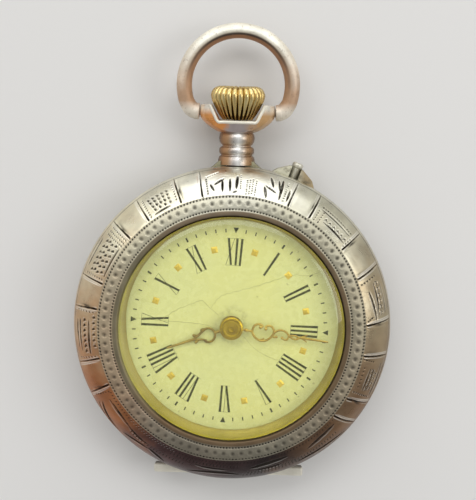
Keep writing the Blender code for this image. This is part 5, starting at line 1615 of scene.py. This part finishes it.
HOUR_BALLS = (
    ((1.42, 0.0, 0.16), (2.92, -0.64, 0.16), (2.88, 0.5, 0.17))
    + ((3.88, 0.34, 0.15), (3.86, -0.37, 0.15), (4.02, 0.0, 0.13))
)


LEAF_HALF = 0.07
BOSS_PROFILE = (
    ((0.0, 7.8), (0.16, 7.81), (0.22, 7.845), (0.3, 7.845), (0.36, 7.8), (0.62, 7.78))
    + ((0.7, 7.83), (0.86, 7.8), (0.95, 7.7), (0.98, 7.56), (0.96, 7.5), (1.06, 7.47))
    + ((1.14, 7.43), (1.17, 7.34), (1.14, 7.2), (1.08, 7.16), (0.0, 7.16))
)


def scrolled_hand(name, scrolls, balls, leaves, level, flat, bearing):
    """A pierced hand of scrolled wires and balls, flattened as by a stamp, at its bearing from 12."""
    shapes = []
    for radius, spots in scrolls:
        line = through(spots, 8)
        count = len(line) - 1
        pointer = len(spots) == 3 and spots[-1][0] > 6.5 and spots[0][0] > 3.5
        sizes = [1.2 * radius * (1 - 0.4 * k / count if pointer else 1.0) for k in range(count + 1)]
        points = [(-aside, along, 0.0, size) for (along, aside), size in zip(line, sizes)]
        shapes.append(wire("scroll", points, 1.0, 3))
    for along, aside, radius in balls:
        bm = bmesh.new()
        spot = Matrix.Translation((-aside, along, 0.0))
        bmesh.ops.create_uvsphere(bm, u_segments=16, v_segments=10, radius=radius, matrix=spot)
        shapes.append(bmesh_object("ball", bm))
    for tail, tip, half in leaves:
        run = (tip[0] - tail[0], tip[1] - tail[1])
        size = math.hypot(*run) / half
        middle = ((tail[0] + tip[0]) / 2, (tail[1] + tip[1]) / 2)
        left = (middle[0] - run[1] / size, middle[1] + run[0] / size)
        right = (middle[0] + run[1] / size, middle[1] - run[0] / size)
        corners = [(-aside, along) for along, aside in (tail, left, tip, right)]
        shapes.append(outline_plate("leaf", corners, -LEAF_HALF, LEAF_HALF))
    hand = joined(name, shapes)
    fused(hand, 0.026, 2)
    squash = Matrix.Translation((0.0, 0.0, level)) @ Matrix.Diagonal((1.0, 1.0, flat, 1.0))
    hand.matrix_world = Matrix.Rotation(-math.radians(bearing), 4, "Z") @ squash
    return hand


class FOB_OT_hands(bpy.types.Operator):
    """Pierced gilt hands and their boss"""

    bl_idname = "fob.hands"
    bl_label = "Hands"

    def execute(self, context):
        gilt = metal_finish("hand_gilt", (0.54, 0.38, 0.07), 0.26, (0.30, 0.195, 0.036), 6.0, 0.2)
        shapes = (MINUTE_SCROLLS, MINUTE_BALLS, MINUTE_LEAVES)
        minute = scrolled_hand("minute_hand_pierced", *shapes, MINUTE_HAND_MIDDLE, 0.7, MINUTE_HAND_AT)
        finish(minute, gilt, "minute_hand", ["minute_hand"], 60.0)
        shapes = (HOUR_SCROLLS, HOUR_BALLS, ())
        hour = scrolled_hand("hour_hand_pierced", *shapes, HOUR_HAND_MIDDLE, 0.65, HOUR_HAND_AT)
        bronze = metal_finish("hour_hand_gilt", (0.40, 0.285, 0.055), 0.28, (0.20, 0.14, 0.028), 6.0, 0.2)
        finish(hour, bronze, "hour_hand", ["hour_hand"], 60.0)
        collar = [(0.88, 6.73), (1.12, 6.73), (1.16, 6.69), (1.16, 6.64), (1.12, 6.6), (0.88, 6.6)]
        finish(turned("hour_hand_collet", collar, 64), bronze, "hour_hand")
        boss = turned("hand_boss_turned", BOSS_PROFILE, 80)
        gold = metal_finish("boss_gilt", (0.42, 0.29, 0.018), 0.26, (0.20, 0.13, 0.008), 6.0, 0.3)
        finish(boss, gold, "minute_hand", ["hand_boss"], 32.0)
        return {"FINISHED"}


# Movement
EDGE_SOFTENED = 0.025


class FOB_OT_movement(bpy.types.Operator):
    """Finished copies of the movement's plates, wheels, screws and springs"""

    bl_idname = "fob.movement"
    bl_label = "Movement"

    def execute(self, context):
        looks = {
            "brass": metal_finish("frosted_brass", (0.72, 0.52, 0.20), 0.34, (0.55, 0.37, 0.12), 14.0, 0.1),
            "nickel": striped_finish("striped_nickel", (0.66, 0.64, 0.60), 0.26, 1.1),
            "steel": metal_finish("polished_steel", (0.60, 0.60, 0.61), 0.16, (0.42, 0.42, 0.43), 5.0, 0.3),
            "blued_steel": metal_finish("blued_steel", (0.05, 0.09, 0.34), 0.2, (0.03, 0.05, 0.2), 5.0, 0.2),
        }
        record = frame["record"]
        slots = {part["node"]: part["material_slot"] for part in record["subparts"]}
        riders = record["behaviour"]["bodies"].items()
        bodies = {node: body for body, nodes in riders for node in nodes}
        for node, source in frame["nodes"].items():
            if slots[node] in looks and not source.hide_render:
                self.dress(node, source, looks[slots[node]], bodies[node], slots[node])
        return {"FINISHED"}

    def dress(self, node, source, look, body, slot):
        """A copy of a solid with its edges eased."""
        bm = bmesh.new()
        bm.from_mesh(source.data)
        bmesh.ops.scale(bm, vec=(1.0 / MM,) * 3, verts=bm.verts)
        bmesh.ops.remove_doubles(bm, verts=bm.verts, dist=0.0005)
        bmesh.ops.dissolve_limit(bm, angle_limit=math.radians(1.0), verts=bm.verts, edges=bm.edges)
        copy = bmesh_object(node + "_finished", bm)
        bevel(copy, EDGE_SOFTENED, 2, 32.0)
        finish(copy, look, body, [node], 32.0)


# Floor, light and camera
FLOOR_HALF = 0.6
FLOOR_GAP = 0.00002
SENSOR = 36.0
AIM_LEVEL = 7.5
SOFTBOXES = (
    ("key_softbox", (-0.05, 0.27, 0.38), (0.5, 0.16), 0.6),
    ("side_softbox", (0.34, 0.06, 0.32), (0.22, 0.22), 0.4),
    ("far_softbox", (0.0, 0.45, 0.16), (0.6, 0.24), 0.42),
)


class FOB_OT_stage(bpy.types.Operator):
    """Pale floor, soft light and the camera"""

    bl_idname = "fob.stage"
    bl_label = "Stage"

    def execute(self, context):
        stage = context.scene.fob_stage
        self.floor(stage)
        self.world(context.scene)
        self.lamps()
        self.camera(context.scene, stage)
        context.scene.view_settings.view_transform = "Standard"
        return {"FINISHED"}

    def floor(self, stage):
        bm = bmesh.new()
        bmesh.ops.create_grid(bm, x_segments=8, y_segments=8, size=FLOOR_HALF)
        floor = bmesh_object("pale_floor", bm)
        floor.data.materials.append(floor_finish(stage.floor))
        floor.location.z = -FLOOR_GAP

    def world(self, scene):
        world = bpy.data.worlds.new("soft_studio")
        world.use_nodes = True
        tree = world.node_tree
        tree.nodes.clear()
        rays = add(tree, "ShaderNodeLightPath")
        through_glass = rays.outputs["Is Transmission Ray"]
        direct = math_node(tree, "MAXIMUM", rays.outputs["Is Camera Ray"], through_glass)
        seen = math_node(tree, "MAXIMUM", direct, rays.outputs["Is Glossy Ray"])
        first = math_node(tree, "LESS_THAN", rays.outputs["Diffuse Depth"], 0.5)
        where = add(tree, "ShaderNodeTexCoord").outputs["Generated"]
        sides = span(tree, axis(tree, where, "Y"), -0.7, 0.6, 0.4, 1.0)
        overhead = span(tree, axis(tree, where, "Z"), 0.5, 0.97, 1.0, 0.55)
        room = math_node(tree, "MULTIPLY", sides, overhead)
        lift = math_node(tree, "MAXIMUM", room, math_node(tree, "MULTIPLY", direct, 0.9))
        shown = add(tree, "ShaderNodeBackground", {"Color": grey(tree, lift), "Strength": 1.0})
        light = add(tree, "ShaderNodeBackground", {"Color": (1.0, 0.99, 0.97, 1.0), "Strength": 0.58})
        choose = add(tree, "ShaderNodeMixShader", {0: math_node(tree, "MULTIPLY", seen, first)})
        tree.links.new(light.outputs[0], choose.inputs[1])
        tree.links.new(shown.outputs[0], choose.inputs[2])
        out = add(tree, "ShaderNodeOutputWorld")
        tree.links.new(choose.outputs[0], out.inputs["Surface"])
        scene.world = world

    def lamps(self):
        for name, spot, size, power in SOFTBOXES:
            lamp = bpy.data.lights.new(name, "AREA")
            lamp.shape = "RECTANGLE"
            lamp.size, lamp.size_y = size
            lamp.energy = power
            holder = link(bpy.data.objects.new(name, lamp))
            holder.location = spot
            holder.rotation_euler = (-Vector(spot)).to_track_quat("-Z", "Y").to_euler()

    def camera(self, scene, stage):
        camera = bpy.data.cameras.new("photograph_view")
        camera.sensor_fit = "VERTICAL"
        camera.sensor_height = SENSOR
        camera.lens = SENSOR * stage.distance / stage.view_height
        camera.clip_start = 0.01
        holder = link(bpy.data.objects.new("photograph_view", camera))
        aim = Vector((stage.aim_x, stage.aim_y, AIM_LEVEL * MM))
        lean = Matrix.Rotation(-stage.tilt, 4, "X") @ Matrix.Rotation(stage.lean, 4, "Y")
        turn = lean @ Matrix.Rotation(stage.roll, 4, "Z")
        back = Matrix.Translation((0.0, 0.0, stage.distance))
        holder.matrix_world = Matrix.Translation(aim) @ turn @ back
        scene.camera = holder


# Panel, registration and run
PIECES = (
    ("bezel", FOB_OT_bezel),
    ("crystal", FOB_OT_crystal),
    ("case", FOB_OT_case),
    ("bow", FOB_OT_bow),
    ("crown", FOB_OT_crown),
    ("setting_pin", FOB_OT_setting_pin),
    ("covers", FOB_OT_covers),
    ("dial", FOB_OT_dial),
    ("hands", FOB_OT_hands),
    ("movement", FOB_OT_movement),
    ("stage", FOB_OT_stage),
)


class FOB_PT_panel(bpy.types.Panel):
    """Lists the pieces of the watch and their settings"""

    bl_label = "Fob Watch"
    bl_idname = "FOB_PT_panel"
    bl_space_type = "VIEW_3D"
    bl_region_type = "UI"
    bl_category = "Fob Watch"

    def draw(self, context):
        for settings in (context.scene.fob_case, context.scene.fob_dial, context.scene.fob_stage):
            box = self.layout.box()
            for name in settings.bl_rna.properties.keys():
                if name not in ("rna_type", "name"):
                    box.prop(settings, name)
        for _, operator in PIECES:
            self.layout.operator(operator.bl_idname)


SETTINGS = (("fob_case", FobCaseSettings), ("fob_dial", FobDialSettings), ("fob_stage", FobStageSettings))
CLASSES = [group for _, group in SETTINGS] + [operator for _, operator in PIECES] + [FOB_PT_panel]


def register():
    for made in CLASSES:
        bpy.utils.register_class(made)
    for name, group_type in SETTINGS:
        setattr(bpy.types.Scene, name, PointerProperty(type=group_type))


def unregister():
    for name, _ in SETTINGS:
        delattr(bpy.types.Scene, name)
    for made in reversed(CLASSES):
        bpy.utils.unregister_class(made)


def main():
    register()
    for name, _ in PIECES:
        getattr(bpy.ops.fob, name)()


if __name__ == "__main__":
    main()
